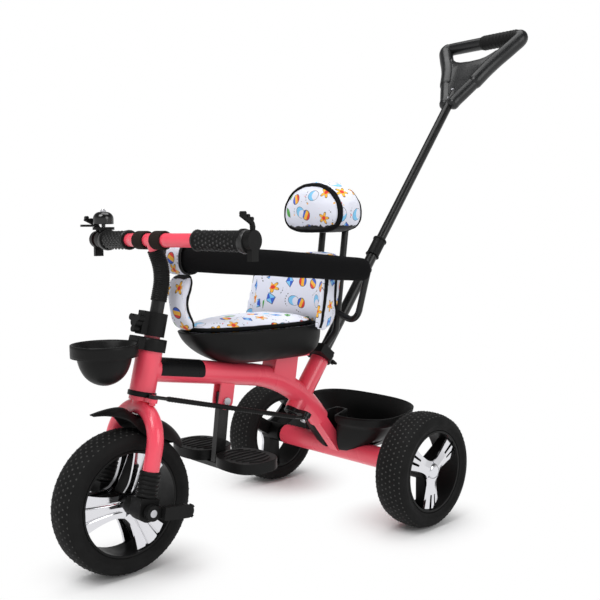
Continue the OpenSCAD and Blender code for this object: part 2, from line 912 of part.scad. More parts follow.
module rear_cover(side) {
  color(steel) at_rear_wheel(side) rotate([0, rear_turn, 0]) wheel_cover(rear_tyre_d, nut_d + 8 * move_gap);
}

// Fork: arch tube, sliders, crown with its link arm, and the steerer
module fork() {
  color(pink) at_head() difference() {
    union() {
      translate([0, 0, arch_mid]) rotate([90, 0, 90])
        rotate_extrude(angle = 180) translate([fork_half, 0]) circle(d = fork_tube_d);
      both_sides() {
        translate([0, fork_half, boot_high]) cylinder(d = fork_tube_d, h = arch_mid - boot_high);
        translate([0, fork_half, foot_top + seat_gap]) cylinder(d = slider_d, h = boot_len);
      }
      translate([0, 0, crown_top - crown_t]) {
        cylinder(d = crown_d, h = crown_t);
        translate([-link_eye_d / 2, 0, 0]) cube([link_eye_d, link_arm, crown_t]);
        translate([0, link_arm, 0]) cylinder(d = link_eye_d, h = crown_t);
        translate([0, link_arm, -bolt_head_t]) cylinder(d = bolt_head_d, h = bolt_head_t);
        translate([0, link_arm, 0]) cylinder(d = link_bolt_d, h = crown_t + link_eye_t + 2 * move_gap);
      }
      translate([0, 0, arch_top]) cylinder(d = steerer_d, h = clamp_high - clamp_lip - arch_top);
    }
    translate([0, 0, crown_top]) cylinder(d = stem_d + 2 * run_play, h = clamp_high - crown_top + cut);
  }
}

module fork_boots() {
  pitch = boot_len / boot_ribs;
  color(black) at_head() both_sides() translate([0, fork_half, foot_top + seat_gap])
    rotate_extrude($fn = 24) difference() {
      polygon(concat([[0, 0]],
        [for (i = [0 : boot_ribs - 1]) each [
          [boot_waist_d / 2, i * pitch], [boot_d / 2, (i + 0.3) * pitch], [boot_d / 2, (i + 0.7) * pitch]]],
        [[boot_waist_d / 2, boot_len - 2 * seat_gap], [0, boot_len - 2 * seat_gap]]));
      translate([0, -cut]) square([slider_d / 2 + seat_gap, boot_len + 2 * cut]);
    }
}

module fork_feet() {
  color(black) at_head() both_sides() difference() {
    union() {
      disc_y(2 * foot_r, fork_half - foot_w / 2, fork_half + foot_w / 2);
      translate([-foot_r, fork_half - foot_w / 2, 0]) cube([2 * foot_r, foot_w, foot_top]);
    }
    disc_y(crank_axle_d + 2 * run_play, fork_half - foot_w / 2 - cut, fork_half + foot_w / 2 + cut);
  }
}

// Mudguard: a crowned sheet over the wheel, lifted at its pointed front
function mud_radius(t) = front_r + mud_gap
  + (t < 0.5 ? mud_front_rise * pow(1 - 2 * t, 1.5) : mud_rear_rise * pow(2 * t - 1, 2));
function mud_half(t) = mudguard_w / 2
  * (t < 0.5 ? mud_tip_share + (1 - mud_tip_share) * sin(180 * t)
             : mud_tail_share + (1 - mud_tail_share) * sin(180 * t));
mud_across = 8;
mud_along = 14;
function mud_ring(t) = let (a = mud_front_angle + (mud_rear_angle - mud_front_angle) * t)
  [for (k = [0 : 2 * mud_across + 1])
    let (upper = k > mud_across,
         v = upper ? 1 - 2 * (k - mud_across - 1) / mud_across : 2 * k / mud_across - 1,
         r = mud_radius(t) - mud_drop * pow(2 * v * mud_half(t) / mudguard_w, 2) + (upper ? mud_t : 0))
    [r * cos(a), -v * mud_half(t), r * sin(a)]];

module mudguard() {
  color(black) at_head() {
    loft([for (i = [0 : mud_along]) mud_ring(i / mud_along)]);
    translate([0, 0, mud_radius(0.5) + mud_t / 2])
      cylinder(d = mud_boss_d, h = arch_top - fork_tube_d / 2 - mud_boss_gap - mud_radius(0.5) - mud_t / 2);
  }
}

// Stem clamp with the boss of its star knob
knob_s = clamp_low + stem_clamp_len * knob_at_share;
boss_end = stem_clamp_d / 2 + knob_boss_out;

module stem_clamp() {
  color(black) at_head() difference() {
    union() {
      translate([0, 0, clamp_low]) cylinder(d = stem_clamp_d, h = stem_clamp_len);
      translate([0, -knob_boss_w / 2, clamp_low]) cube([boss_end, knob_boss_w, stem_clamp_len]);
    }
    translate([0, 0, clamp_low - cut])
      cylinder(d = steerer_d + 2 * seat_gap, h = stem_clamp_len - clamp_lip + cut);
    translate([0, 0, clamp_low]) cylinder(d = stem_d + 2 * run_play, h = stem_clamp_len + cut);
    translate([steerer_d / 2, 0, knob_s]) rotate([0, 90, 0])
      cylinder(d = knob_screw_d + 2 * run_play, h = boss_end);
  }
}

module stem_knob() {
  color(black) at_head() translate([0, 0, knob_s]) rotate([0, 90, 0]) {
    translate([0, 0, steerer_d / 2 + move_gap])
      cylinder(d = knob_screw_d, h = boss_end - steerer_d / 2 + knob_t / 2);
    translate([0, 0, boss_end + move_gap]) linear_extrude(knob_t) {
      circle(d = knob_d * knob_core_share);
      for (a = [0 : 120 : 240]) rotate(a) translate([knob_d / 2, 0]) circle(d = knob_lobe_d);
    }
  }
}

// Stem: straight in the steerer, then bent forward to the bar
function stem_path(t) = let (straight = stem_bend_low - sleeve_low,
    bent = stem_bend_r * stem_bend * PI / 180,
    top = stem_top_len - stem_stub_len,
    run = t * (straight + bent + top))
  run < straight ? [0, sleeve_low + run, 0]
  : run < straight + bent
    ? let (a = (run - straight) / stem_bend_r * 180 / PI)
      [stem_bend_r * (1 - cos(a)), stem_bend_low + stem_bend_r * sin(a), a]
    : let (w = run - straight - bent)
      [stem_arc_end[0] + w * sin(stem_bend), stem_arc_end[1] + w * cos(stem_bend), stem_bend];

module stem_tube() {
  corner = [0, 0, stem_bend_low + stem_bend_r * tan(stem_bend / 2)];
  color(black) at_head()
    bent_tube([[0, 0, clamp_high - stem_insert], corner, [stem_end[0], 0, stem_end[1]]],
      [0, stem_bend_r, 0], stem_d);
}

// Ribbed hose round the stem
sleeve_sides = 10;
function sleeve_ring(t, r) = let (p = stem_path(t))
  [for (k = [0 : sleeve_sides - 1]) let (a = 360 * k / sleeve_sides)
    [p[0] + r * cos(a) * cos(p[2]), r * sin(a), p[1] - r * cos(a) * sin(p[2])]];

module stem_sleeve() {
  steps = 2 * sleeve_ribs;
  color(black) at_head() tunnel_loft(
    [for (i = [0 : steps]) sleeve_ring(i / steps, (i % 2 == 0 ? sleeve_root_d : sleeve_rib_d) / 2)],
    [for (i = [0 : steps]) sleeve_ring(i / steps, (stem_d / 2 + sleeve_play) / cos(180 / sleeve_sides))]);
}

module handlebar() {
  half = bar_middle / 2;
  tip = [-bar_arm * sin(bar_sweep), half + bar_arm * cos(bar_sweep), 0];
  color(pink) {
    at_bar() bent_tube([[tip[0], -tip[1], 0], [0, -half, 0], [0, half, 0], tip],
      [0, bar_bend_r, bar_bend_r, 0], bar_d);
    at_head() rod([stem_end[0], 0, stem_end[1]] + seat_gap * [sin(stem_bend), 0, cos(stem_bend)],
      [bar_point[0], 0, bar_point[1]], stem_d - weld_over / 2);
  }
}

module center_foam() {
  take = bar_bend_r * tan(bar_sweep / 2) + weld_half + seat_gap;
  color(black) both_sides() at_bar() difference() {
    disc_y(foam_d, stem_d / 2 + seat_gap, bar_middle / 2 - take);
    disc_y(bar_d + 2 * seat_gap, 0, bar_middle);
  }
}

module grip(at) {
  difference() {
    union() {
      translate([0, 0, at]) cylinder(d = grip_d, h = grip_len);
      translate([0, 0, at + grip_len - grip_flange_t]) cylinder(d = grip_flange_d, h = grip_flange_t);
    }
    translate([0, 0, at - cut]) cylinder(d = bar_d + 2 * seat_gap, h = grip_len + 2 * cut);
  }
}

module left_grip() {
  color(black) at_bar_arm(1) grip(left_grip_at);
}

module right_grip() {
  color(black) at_bar_arm(-1) grip(right_grip_at);
}

// Bar end: a collar with a blade below it and a ribbed arm curling up and forward
module horn() {
  low = bar_arm - horn_collar_len + dome_wall + seat_gap;
  mid = low + horn_collar_len - horn_blade_t / 2;
  knee = [0, -horn_arm_rise * horn_knee_share, mid];
  tip = [horn_arm_reach, -horn_arm_rise, mid];
  difference() {
    union() {
      translate([0, 0, low]) cylinder(d = horn_collar_d, h = horn_collar_len);
      translate([-horn_blade_w / 2, 0, mid - horn_blade_t / 2])
        cube([horn_blade_w, horn_blade_drop, horn_blade_t - seat_gap]);
      bent_tube([[0, 0, mid], knee, tip], [0, horn_bend_r, 0], horn_arm_d);
      for (i = [1 : horn_bumps])
        translate(knee + (i - horn_bump_back_share) / horn_bumps * (tip - knee))
          translate([0, -horn_bump_out, -horn_bump_w / 2]) cylinder(d = horn_bump_d, h = horn_bump_w);
    }
    translate([0, 0, low - cut]) cylinder(d = bar_d + 2 * seat_gap, h = horn_collar_len - dome_wall + cut);
  }
}

module left_horn() {
  color(black) at_bar_arm(1) horn();
}

module right_horn() {
  color(black) at_bar_arm(-1) horn();
}

// Bell on the right arm, between grip and bar end
bell_at = bar_arm - horn_collar_len + dome_wall - bell_plate_d / 2 - move_gap;

module at_bell() {
  at_bar_arm(-1) translate([0, 0, bell_at]) rotate([90, 0, 0]) children();
}

module bell_base() {
  color(black) at_bell() difference() {
    union() {
      rotate([-90, 0, 0]) translate([0, 0, -bell_clamp_w / 2]) cylinder(d = bell_clamp_d, h = bell_clamp_w);
      cylinder(d = bell_stalk_d, h = bell_lift);
      translate([0, 0, bell_lift]) cylinder(d = bell_plate_d, h = bell_plate_t);
    }
    rotate([-90, 0, 0]) translate([0, 0, -bell_clamp_w / 2 - cut])
      cylinder(d = bar_d + 2 * seat_gap, h = bell_clamp_w + 2 * cut);
    translate([bell_plate_d / 2 - bell_pin_d, 0, bell_lift + bell_plate_t - bell_lever_t])
      cylinder(d = bell_pin_d + 2 * run_play, h = bell_lever_t + cut);
  }
}

// Bell dome: a cap with a rounded crown on a short stalk
module bell_cap(d, h) {
  r = d * bell_round_share;
  cylinder(d = d, h = h - r);
  translate([0, 0, h - r]) rotate_extrude() intersection() {
    union() {
      square([d / 2 - r, r]);
      translate([d / 2 - r, 0]) circle(r);
    }
    square([d, r]);
  }
}

module bell_dome() {
  low = bell_lift + bell_plate_t + bell_lever_t + 2 * move_gap;
  color(black) at_bell() difference() {
    translate([0, 0, low]) bell_cap(bell_d, bell_dome_h);
    translate([0, 0, low - cut]) cylinder(d = bell_d - 2 * bell_wall, h = bell_dome_h * (1 - bell_round_share));
  }
  color(black) at_bell() translate([0, 0, bell_lift + bell_plate_t + seat_gap])
    cylinder(d = bell_stalk_d / 2, h = bell_dome_h);
}

module bell_lever() {
  low = bell_lift + bell_plate_t + move_gap;
  pin_x = bell_plate_d / 2 - bell_pin_d;
  color(black) at_bell() {
    translate([pin_x, 0, low]) cylinder(d = bell_lever_w, h = bell_lever_t);
    translate([pin_x, -bell_lever_w / 2, low]) cube([bell_lever_len, bell_lever_w, bell_lever_t]);
    translate([pin_x, 0, low - move_gap - bell_lever_t + run_play])
      cylinder(d = bell_pin_d, h = bell_lever_t + move_gap);
  }
}

// Push rod: lower tube in the frame's socket, collar, sliding upper tube and handle
module push_tube() {
  color(black) at_rod() difference() {
    translate([0, 0, push_low]) cylinder(d = push_tube_d, h = push_high - push_low);
    translate([0, 0, push_low - cut])
      cylinder(d = push_stem_d + 2 * run_play, h = push_high - push_low + 2 * cut);
  }
}

module push_collar() {
  low = push_high - collar_len + collar_over;
  color(black) at_rod() difference() {
    union() {
      translate([0, 0, low]) cylinder(d = collar_d, h = collar_len);
      translate([0, 0, low]) cylinder(d = collar_lip_d, h = collar_lip_t / 2);
      translate([0, 0, low + collar_len - collar_lip_t]) cylinder(d = collar_lip_d, h = collar_lip_t);
    }
    translate([0, 0, low - cut]) cylinder(d = push_tube_d + 2 * seat_gap, h = push_high + seat_gap - low + cut);
    translate([0, 0, low]) cylinder(d = push_stem_d + 2 * run_play, h = collar_len + cut);
  }
}

module steer_lever() {
  color(black) at_rod() translate([0, 0, lever_top - lever_t]) difference() {
    union() {
      cylinder(d = lever_hub_d, h = lever_t);
      translate([-lever_arm_w / 2, 0, 0]) cube([lever_arm_w, lever_arm, lever_t]);
      translate([0, lever_arm, 0]) cylinder(d = lever_arm_w, h = lever_t);
    }
    translate([0, 0, -cut]) cylinder(d = push_tube_d + 2 * seat_gap, h = lever_t + 2 * cut);
    translate([0, lever_arm, -cut]) cylinder(d = lever_pin_d + 2 * seat_gap, h = lever_t + 2 * cut);
  }
}

module lever_pin() {
  low = lever_top - lever_t - 2 * link_lift;
  color(steel) at_rod() translate([0, lever_arm, 0]) {
    translate([0, 0, low]) cylinder(d = lever_pin_d, h = lever_top - low);
    translate([0, 0, low - bolt_head_t]) cylinder(d = bolt_head_d, h = bolt_head_t);
  }
}

module push_stem() {
  color(black) at_rod() translate([0, 0, push_high - push_stem_insert])
    cylinder(d = push_stem_d, h = push_stem_rise + push_stem_insert + handle_bore_depth);
}

// Handle: a flared plate from the neck to an arched grip bar, with a finger hole
handle_up_shares = [0, 0.10, 0.19, 0.34, 0.53, 0.66, 0.77, 0.86, 0.93];
handle_out_shares = [0.16, 0.20, 0.30, 0.42, 0.57, 0.69, 0.82, 0.90, 0.92];
handle_hole_up_shares = [0.65, 0.675, 0.725, 0.79, 0.92];
handle_hole_out_shares = [0.07, 0.19, 0.32, 0.41, 0.45];
handle_web_up_shares = [0.32, 0.46, 0.585];
handle_web_out_shares = [0.16, 0.27, 0.37];
handle_edge = [for (i = [0 : len(handle_up_shares) - 1])
  [handle_w / 2 * handle_out_shares[i], handle_h * handle_up_shares[i]]];
handle_hole = [for (i = [0 : len(handle_hole_up_shares) - 1])
  [handle_w / 2 * handle_hole_out_shares[i], handle_h * handle_hole_up_shares[i]]];
handle_web = [for (i = [0 : len(handle_web_up_shares) - 1])
  [handle_w / 2 * handle_web_out_shares[i], handle_h * handle_web_up_shares[i]]];
function both_edges(e) = concat(e, [for (i = [len(e) - 1 : -1 : 0]) [-e[i][0], e[i][1]]]);

module push_handle() {
  end_y = handle_w / 2 - handle_bar_d / 2;
  flat_y = handle_w * handle_flat_share;
  bar = [[0, -end_y, handle_h - handle_arch], [0, -flat_y, handle_h], [0, flat_y, handle_h],
    [0, end_y, handle_h - handle_arch]];
  color(black) at_rod() translate([0, 0, handle_low]) rotate([0, -handle_lean, 0]) difference() {
    union() {
      rotate([90, 0, 90]) translate([0, 0, -handle_t / 2]) linear_extrude(handle_t) difference() {
        polygon(both_edges(handle_edge));
        polygon(both_edges(handle_hole));
      }
      bent_tube(bar, [0, handle_arch_r, handle_arch_r, 0], handle_bar_d);
      both_sides() translate(bar[3]) sphere(d = handle_bar_d + weld_rise);
    }
    for (m = [0, 1]) mirror([m, 0, 0]) rotate([90, 0, 90]) translate([0, 0, handle_t * handle_web_share / 2])
      linear_extrude(handle_t) polygon(both_edges(handle_web));
    rotate([0, handle_lean, 0]) translate([0, 0, -cut])
      cylinder(d = push_stem_d + 2 * seat_gap, h = handle_bore_depth + seat_gap + cut);
  }
}

// Link rod between fork and lever, with an eye at each end
module link_rod() {
  a = lifted(link_front, link_arm);
  b = lifted(link_rear, lever_arm);
  u = unit(b - a);
  eye_r = link_eye_d / 2;
  color(black) difference() {
    union() {
      rod(a + eye_r * link_in_share * u, b - eye_r * link_in_share * u, link_rod_d * link_neck_share);
      translate(a) rotate([0, -head_tilt, 0]) translate([0, 0, -link_eye_t / 2])
        cylinder(d = link_eye_d, h = link_eye_t);
      translate(b) rotate([0, -rod_tilt, 0]) translate([0, 0, -link_eye_t / 2])
        cylinder(d = link_eye_d, h = link_eye_t);
    }
    translate(a) rotate([0, -head_tilt, 0]) translate([0, 0, -link_eye_t])
      cylinder(d = link_bolt_d + 2 * run_play, h = 2 * link_eye_t);
    translate(b) rotate([0, -rod_tilt, 0]) translate([0, 0, -link_eye_t])
      cylinder(d = lever_pin_d + 2 * link_rear_play, h = 2 * link_eye_t);
    translate(b) rotate([0, -rod_tilt, 0]) translate([0, 0, -2 * link_eye_t])
      cylinder(d = bolt_head_d + 4 * link_rear_play, h = 2 * link_eye_t - link_eye_t / 2 - seat_gap);
  }
}

// Footrest
module footrest_post() {
  foot = [footplate_x, footplate_top - footplate_t - seat_gap];
  run = foot_bolt - foot;
  color(black) difference() {
    union() {
      translate(lifted(foot)) rotate([0, atan2(run[0], run[1]), 0])
        translate([-footrest_post_w / 2, -footrest_post_t / 2, -footrest_bar_t / 2])
          cube([footrest_post_w, footrest_post_t, norm(run) + footrest_bar_t / 2 + footrest_post_over]);
      translate([footplate_x - footrest_bar_w / 2, -footrest_gap / 2 - footplate_w / 2, foot[1] - footrest_bar_t])
        cube([footrest_bar_w, footrest_gap + footplate_w, footrest_bar_t]);
    }
    translate(lifted(foot_bolt))
      disc_y(footrest_bolt_d + 2 * run_play, -footrest_post_t, footrest_post_t);
  }
}

module footplate(side) {
  mid = footrest_gap / 2 + footplate_w / 2;
  color(black) translate([footplate_x - footplate_back, side * mid, footplate_top - footplate_t])
    linear_extrude(footplate_t) polygon([for (k = [0 : 47]) let (a = 7.5 * k)
      [footplate_len / 2 * bulge(cos(a), footplate_square), footplate_w / 2 * bulge(sin(a), footplate_square)]]);
}

module footrest_bolt() {
  half = foot_bracket_inside / 2 + foot_bracket_t + seat_gap;
  color(steel) translate(lifted(foot_bolt)) {
    disc_y(footrest_bolt_d, -half, half);
    both_sides() disc_y(bolt_head_d + bolt_head_t, half, half + bolt_head_t);
  }
}

// Rear clamp round the socket, with sockets for the two posts
module rear_clamp() {
  lug_half = post_foot_y + post_d * clamp_lug_share;
  knee = lifted(post_knee, post_spread / 2);
  color(black) difference() {
    at_rod() difference() {
      union() {
        translate([0, 0, clamp_bottom]) cylinder(d = clamp_ring_d, h = clamp_h);
        translate([0, -lug_half, clamp_bottom]) cube([clamp_lug_x, 2 * lug_half, clamp_h]);
      }
      translate([0, 0, clamp_bottom - cut]) cylinder(d = socket_d + 2 * seat_gap, h = clamp_over + seat_gap + cut);
      translate([0, 0, clamp_bottom]) cylinder(d = push_tube_d + 4 * move_gap, h = clamp_h + cut);
      translate([-clamp_ring_d, 0, clamp_screw_at]) rotate([0, 90, 0])
        cylinder(d = clamp_screw_d + 2 * run_play, h = clamp_ring_d);
    }
    both_sides() rod(post_foot - seat_gap * unit(knee - post_foot), knee, post_d + 2 * seat_gap);
  }
}

clamp_screw_at = (socket_up + clamp_bottom + clamp_h) / 2;

module rear_clamp_screw() {
  out = clamp_ring_d / 2 + move_gap;
  from = push_tube_d / 2 + 3 * move_gap;
  color(black) at_rod() translate([0, 0, clamp_screw_at]) rotate([0, -90, 0]) {
    translate([0, 0, from]) cylinder(d = clamp_screw_d, h = out - from + clamp_screw_len);
    translate([-clamp_wing_t / 2, -clamp_wing_w / 2, out]) cube([clamp_wing_t, clamp_wing_w, clamp_wing_h]);
  }
}

// Back frame: two posts and the guard ring's tube, welded to them by a hook on each side
post_top = [post_x(post_top_z), post_top_z];
post_foot = lifted(rod_point(post_ahead, clamp_bottom + clamp_lip + seat_gap), post_foot_y);

module post() {
  y = post_spread / 2;
  bent_tube([post_foot, lifted(post_knee, y), lifted(post_top, y)], [0, 2 * post_d, 0], post_d);
}

function guard_points() = [
  [guard_back_x, guard_back_y, guard_back_z],
  [guard_front_x, guard_w / 2, guard_front_z],
  [guard_front_x, -guard_w / 2, guard_front_z],
  [guard_back_x, -guard_back_y, guard_back_z]
];
guard_radii = [0, guard_corner_r, guard_corner_r, 0];
hook_points = [
  [post_x(hook_post_z), post_spread / 2, hook_post_z],
  [guard_back_x, hook_y, hook_z],
  [guard_back_x, guard_back_y, guard_back_z]
];

module back_frame() {
  color(black) {
    both_sides() post();
    bent_tube(guard_points(), guard_radii, guard_tube_d);
    both_sides() bent_tube(hook_points, [0, hook_r, 0], guard_tube_d);
    both_sides() translate([guard_back_x, guard_back_y, guard_back_z]) sphere(d = guard_tube_d + weld_over);
  }
}

// Padded sleeve along the guard ring, from one rear bend to the other
function guard_side_start() = let (p = guard_points()) p[0] + guard_pad_start * unit(p[1] - p[0]);
function guard_corner_dir(t) = let (p = guard_points(), u = unit(p[1] - p[0]), v = unit(p[2] - p[1]),
    inward = unit(v - (u * v) * u), a = acos(u * v) * t) cos(a) * u + sin(a) * inward;
function guard_corner_point(t) = let (p = guard_points(), u = unit(p[1] - p[0]), v = unit(p[2] - p[1]),
    inward = unit(v - (u * v) * u), a = acos(u * v) * t)
  p[1] - bend_take(p, guard_radii, 1) * u + guard_corner_r * inward
    + guard_corner_r * (sin(a) * u - cos(a) * inward);
function guard_half_path() = let (p = guard_points(), u = unit(p[1] - p[0]))
  concat([for (i = [0 : 3]) [guard_side_start() + i / 4 * (guard_corner_point(0) - guard_side_start()), u]],
    [for (i = [0 : guard_steps]) [guard_corner_point(i / guard_steps), guard_corner_dir(i / guard_steps)]]);
function mirrored(v) = [v[0], -v[1], v[2]];
function guard_path() = let (h = guard_half_path())
  concat(h, [for (i = [len(h) - 1 : -1 : 0]) [mirrored(h[i][0]), -mirrored(h[i][1])]]);
function guard_ring(station, half_h, half_t) = let (u = station[1], out = unit(cross(u, [0, 0, 1])),
    up = cross(out, u))
  [for (k = [0 : guard_sides - 1]) let (a = 360 * k / guard_sides)
    station[0] - half_t * bulge(cos(a), guard_square) * out + half_h * bulge(sin(a), guard_square) * up];

module guard_pad() {
  path = guard_path();
  tunnel = (guard_tube_d / 2 + guard_tunnel) / cos(180 / guard_sides);
  color(grey) tunnel_loft(
    [for (s = path) guard_ring(s, guard_pad_h / 2, guard_pad_t / 2)],
    [for (s = path) let (u = s[1], out = unit(cross(u, [0, 0, 1])), up = cross(out, u))
      [for (k = [0 : guard_sides - 1]) let (a = 360 * k / guard_sides)
        s[0] - tunnel * cos(a) * out + tunnel * sin(a) * up]]);
}

// Headrest pillow over the tops of the posts
module headrest() {
  mid = [post_x(headrest_low_z + headrest_h / 2) + headrest_t / 2 - headrest_behind,
    headrest_low_z + headrest_h / 2];
  color(cloth) difference() {
    loft([for (i = [0 : 12]) let (t = -90 + 15 * i)
      let (r = pow(max(cos(t), least_share), 2 / headrest_square), y = headrest_w / 2 * bulge(sin(t), headrest_square))
      [for (k = [0 : 19]) let (a = 18 * k)
        [mid[0] + r * headrest_t / 2 * bulge(sin(a), headrest_square), y,
         mid[1] + r * headrest_h / 2 * bulge(cos(a), headrest_square)]]]);
    both_sides() rod(lifted([post_x(headrest_low_z - headrest_h), headrest_low_z - headrest_h], post_spread / 2),
      lifted([post_x(post_top_z + post_d), post_top_z + post_d], post_spread / 2), post_d + 4 * seat_gap);
  }
}

// Seat: plan outline from rear to nose, then levels from the floor of the pan to its rim
function seat_ring(z, len_share, w_share, shift, inset = 0) = [for (k = [0 : rings_n - 1])
  let (a = 360 * k / rings_n,
       half = (seat_w + (seat_nose_w - seat_w) * (1 + cos(a)) / 2) / 2)
  [seat_x + shift + (seat_len / 2 * len_share - inset) * bulge(cos(a), cushion_square),
   (half * w_share - inset) * bulge(sin(a), cushion_square), z]];
pan_level_shares = [0, 0.12, 0.32, 0.55, 0.78];
pan_len_shares = [0.60, 0.74, 0.86, 0.94, 0.985];
pan_w_shares = [0.52, 0.76, 0.90, 0.97, 1];
pan_shift_shares = [-2.6, -1.9, -1.2, -0.6, -0.1];
pan_top_len_share = 1;
pan_top_w_share = 0.93;

module seat_pan() {
  n = len(pan_level_shares) - 1;
  color(black) difference() {
    loft(concat(
      [for (i = [0 : n]) seat_ring(seat_low + seat_depth * pan_level_shares[i], pan_len_shares[i],
        pan_w_shares[i], seat_shift * pan_shift_shares[i])],
      [seat_ring(seat_rim, pan_top_len_share, pan_top_w_share, 0),
       seat_ring(seat_rim, pan_top_len_share, pan_top_w_share, 0, pan_lip)],
      [for (i = [n : -1 : 1]) seat_ring(seat_low + seat_depth * pan_level_shares[i] + (i == n ? 0 : seat_wall),
        pan_len_shares[i], pan_w_shares[i], seat_shift * pan_shift_shares[i], pan_lip)]));
    bent_tube([lifted(main_start), lifted(main_corner), lifted(main_end)], [0, main_bend_r, 0],
      main_d + 2 * seat_gap);
  }
}

// Seat cushion: a crowned pad that drops into the rim and is drawn in where it meets it
cushion_len_share = 0.945;
cushion_shift = 3;
cushion_fall_shares = [0.16, 0.10, 0];
cushion_rise_shares = [0.45, 0.80, 1];
cushion_low_shares = [0.60, 0.97, 1];
cushion_top_shares = [1.01, 0.86, 0.52];

module seat_cushion() {
  color(cloth) loft(concat(
    [for (i = [0 : 2]) seat_ring(seat_rim - seat_depth * cushion_fall_shares[i],
      cushion_len_share * cushion_low_shares[i], pan_top_w_share * cushion_low_shares[i], cushion_shift,
      pan_lip + cushion_gap)],
    [for (i = [0 : 2]) seat_ring(seat_rim + seat_crown * cushion_rise_shares[i],
      cushion_len_share * cushion_top_shares[i], pan_top_w_share * cushion_top_shares[i], cushion_shift,
      pan_lip + cushion_gap)]));
}

// Back cushion: a pad that wraps forward at both sides
function back_station(v) = let (wrap = back_wrap * pow(abs(v), back_wrap_power),
    end = abs(v) > 0.99,
    thick = (back_t + (back_tip_t - back_t) * v * v) * (end ? back_end_share : 1),
    tall = back_h * (1 - back_drop_share * pow(abs(v), 3)) * (end ? back_end_tall_share : 1))
  [for (k = [0 : 17]) let (a = 20 * k, up = bulge(cos(a), back_square))
    let (z = back_low + back_h / 2 - back_h * back_drop_share / 2 * pow(abs(v), 3) + tall / 2 * up)
    [post_x(z) + back_off_post + wrap * (1 - back_shear_share * up) + thick / 2 * bulge(sin(a), back_square),
     v * back_w / 2, z]];

module back_cushion() {
  color(cloth) loft([for (i = [0 : back_steps]) back_station(-1 + 2 * i / back_steps)]);
}

// Crotch pad: a sewn loop over the front of the guard ring and a pad down to the seat's nose
module crotch_pad() {
  low = seat_rim + crotch_lift;
  high = guard_front_z - guard_pad_h / 2 - loop_gap - loop_t / 2;
  nose = seat_x + seat_len / 2 + crotch_out;
  color(cloth) {
    loft([for (i = [0 : 8]) let (t = i / 8,
        x = nose + (guard_front_x - nose) * smooth(t) + crotch_bulge * sin(180 * t),
        w = crotch_w / 2 * (1 - crotch_taper_share * t) * (i == 0 ? crotch_end_share : 1))
      [for (k = [0 : 17]) let (a = 20 * k)
        [x + crotch_t / 2 * bulge(cos(a), cushion_square), w * bulge(sin(a), cushion_square),
         low + (high - low) * t]]]);
    translate([guard_front_x, loop_w / 2, guard_front_z]) rotate([90, 0, 0]) linear_extrude(loop_w) difference() {
      polygon(loop_outline(loop_gap + loop_t));
      polygon(loop_outline(loop_gap));
    }
  }
}

function loop_outline(out) = [for (k = [0 : 35]) let (a = 10 * k)
  [(guard_pad_t / 2 + out) * bulge(cos(a), cushion_square),
   (guard_pad_h / 2 + out) * bulge(sin(a), cushion_square)]];

// Front basket: a round bowl on a ring round the head tube
bowl_mid = head_point(bowl_ahead, bowl_ring_low);
bowl_level_shares = [0, 0.06, 0.22, 0.48, 0.70];
bowl_size_shares = [0.16, 0.38, 0.62, 0.77, 0.82];
function bowl_ring(z, r) = [for (k = [0 : rings_n - 1]) let (a = 360 * k / rings_n)
  [bowl_mid[0] + r * cos(a), r * sin(a), z]];

module front_basket() {
  r = bowl_d / 2;
  n = len(bowl_level_shares) - 1;
  low = bowl_mid[1] - bowl_depth;
  color(black) difference() {
    union() {
      loft(concat(
        [for (i = [0 : n]) bowl_ring(low + bowl_depth * bowl_level_shares[i], r * bowl_size_shares[i])],
        [bowl_ring(bowl_mid[1] - bowl_band, r), bowl_ring(bowl_mid[1], r), bowl_ring(bowl_mid[1], r - basket_wall)],
        [for (i = [n : -1 : 1]) bowl_ring(low + bowl_depth * bowl_level_shares[i] + basket_wall,
          r * bowl_size_shares[i] - basket_wall)]));
      at_head() translate([0, 0, bowl_ring_low]) {
        cylinder(d = head_tube_d + 2 * bowl_ring_t, h = bowl_ring_h);
        translate([0, -head_tube_d / 3, 0]) cube([bowl_ahead - r + bowl_lip, head_tube_d * 2 / 3, bowl_ring_h]);
      }
    }
    at_head() translate([0, 0, bowl_ring_low - cut])
      cylinder(d = head_tube_d + 2 * seat_gap, h = bowl_ring_over + seat_gap + cut);
    at_head() translate([0, 0, bowl_ring_low]) cylinder(d = steerer_d + 4 * move_gap, h = bowl_ring_h + cut);
  }
}

// Rear basket: an oval tub behind the leg, resting on the axle tube
tub_outer_shares = [0, 0.1, 0.35, 0.74, 0.75, 1];
tub_inner_shares = [1, 0.7, 0.45, tub_floor_share];
tub_len_shares = [[0, 0.80], [0.1, 0.86], [0.35, 0.91], [0.74, 0.93], [0.75, 0.99], [1, 1]];
tub_w_shares = [[0, 0.40], [0.1, 0.50], [0.35, 0.70], [0.74, 0.89], [0.75, 0.95], [1, 1]];
tub_low = rear_r + axle_tube_d / 2 - tub_hang;

// Plan outline at a share of the tub's depth; the rim rises to the rear and the
// front has an upright notch where the rear leg passes
function tub_ring(level, inset = 0) = let (half_len = tub_len / 2 * lookup(level, tub_len_shares) - inset,
    half_w = tub_w / 2 * lookup(level, tub_w_shares) - inset,
    lean = tub_rise_share * max(0, level - tub_floor_share) / (1 - tub_floor_share),
    notch_x = tub_back + leg_foot_x - leg_w / 2 - leg_room - inset,
    notch_y = leg_t / 2 + leg_room + inset,
    around = [for (k = [0 : rings_n - 1]) let (a = 360 * k / rings_n)
      [half_len * bulge(cos(a), tub_square), half_w * bulge(sin(a), tub_square)]],
    plan = concat([for (k = [rings_n / 2 : rings_n - 1]) around[k]],
      [[half_len, -notch_y * notch_flare], [notch_x, -notch_y], [notch_x, notch_y], [half_len, notch_y * notch_flare]],
      [for (k = [1 : rings_n / 2 - 1]) around[k]]))
  [for (p = plan) [p[0] - tub_back, p[1], tub_low + tub_depth * level - lean * p[0]]];

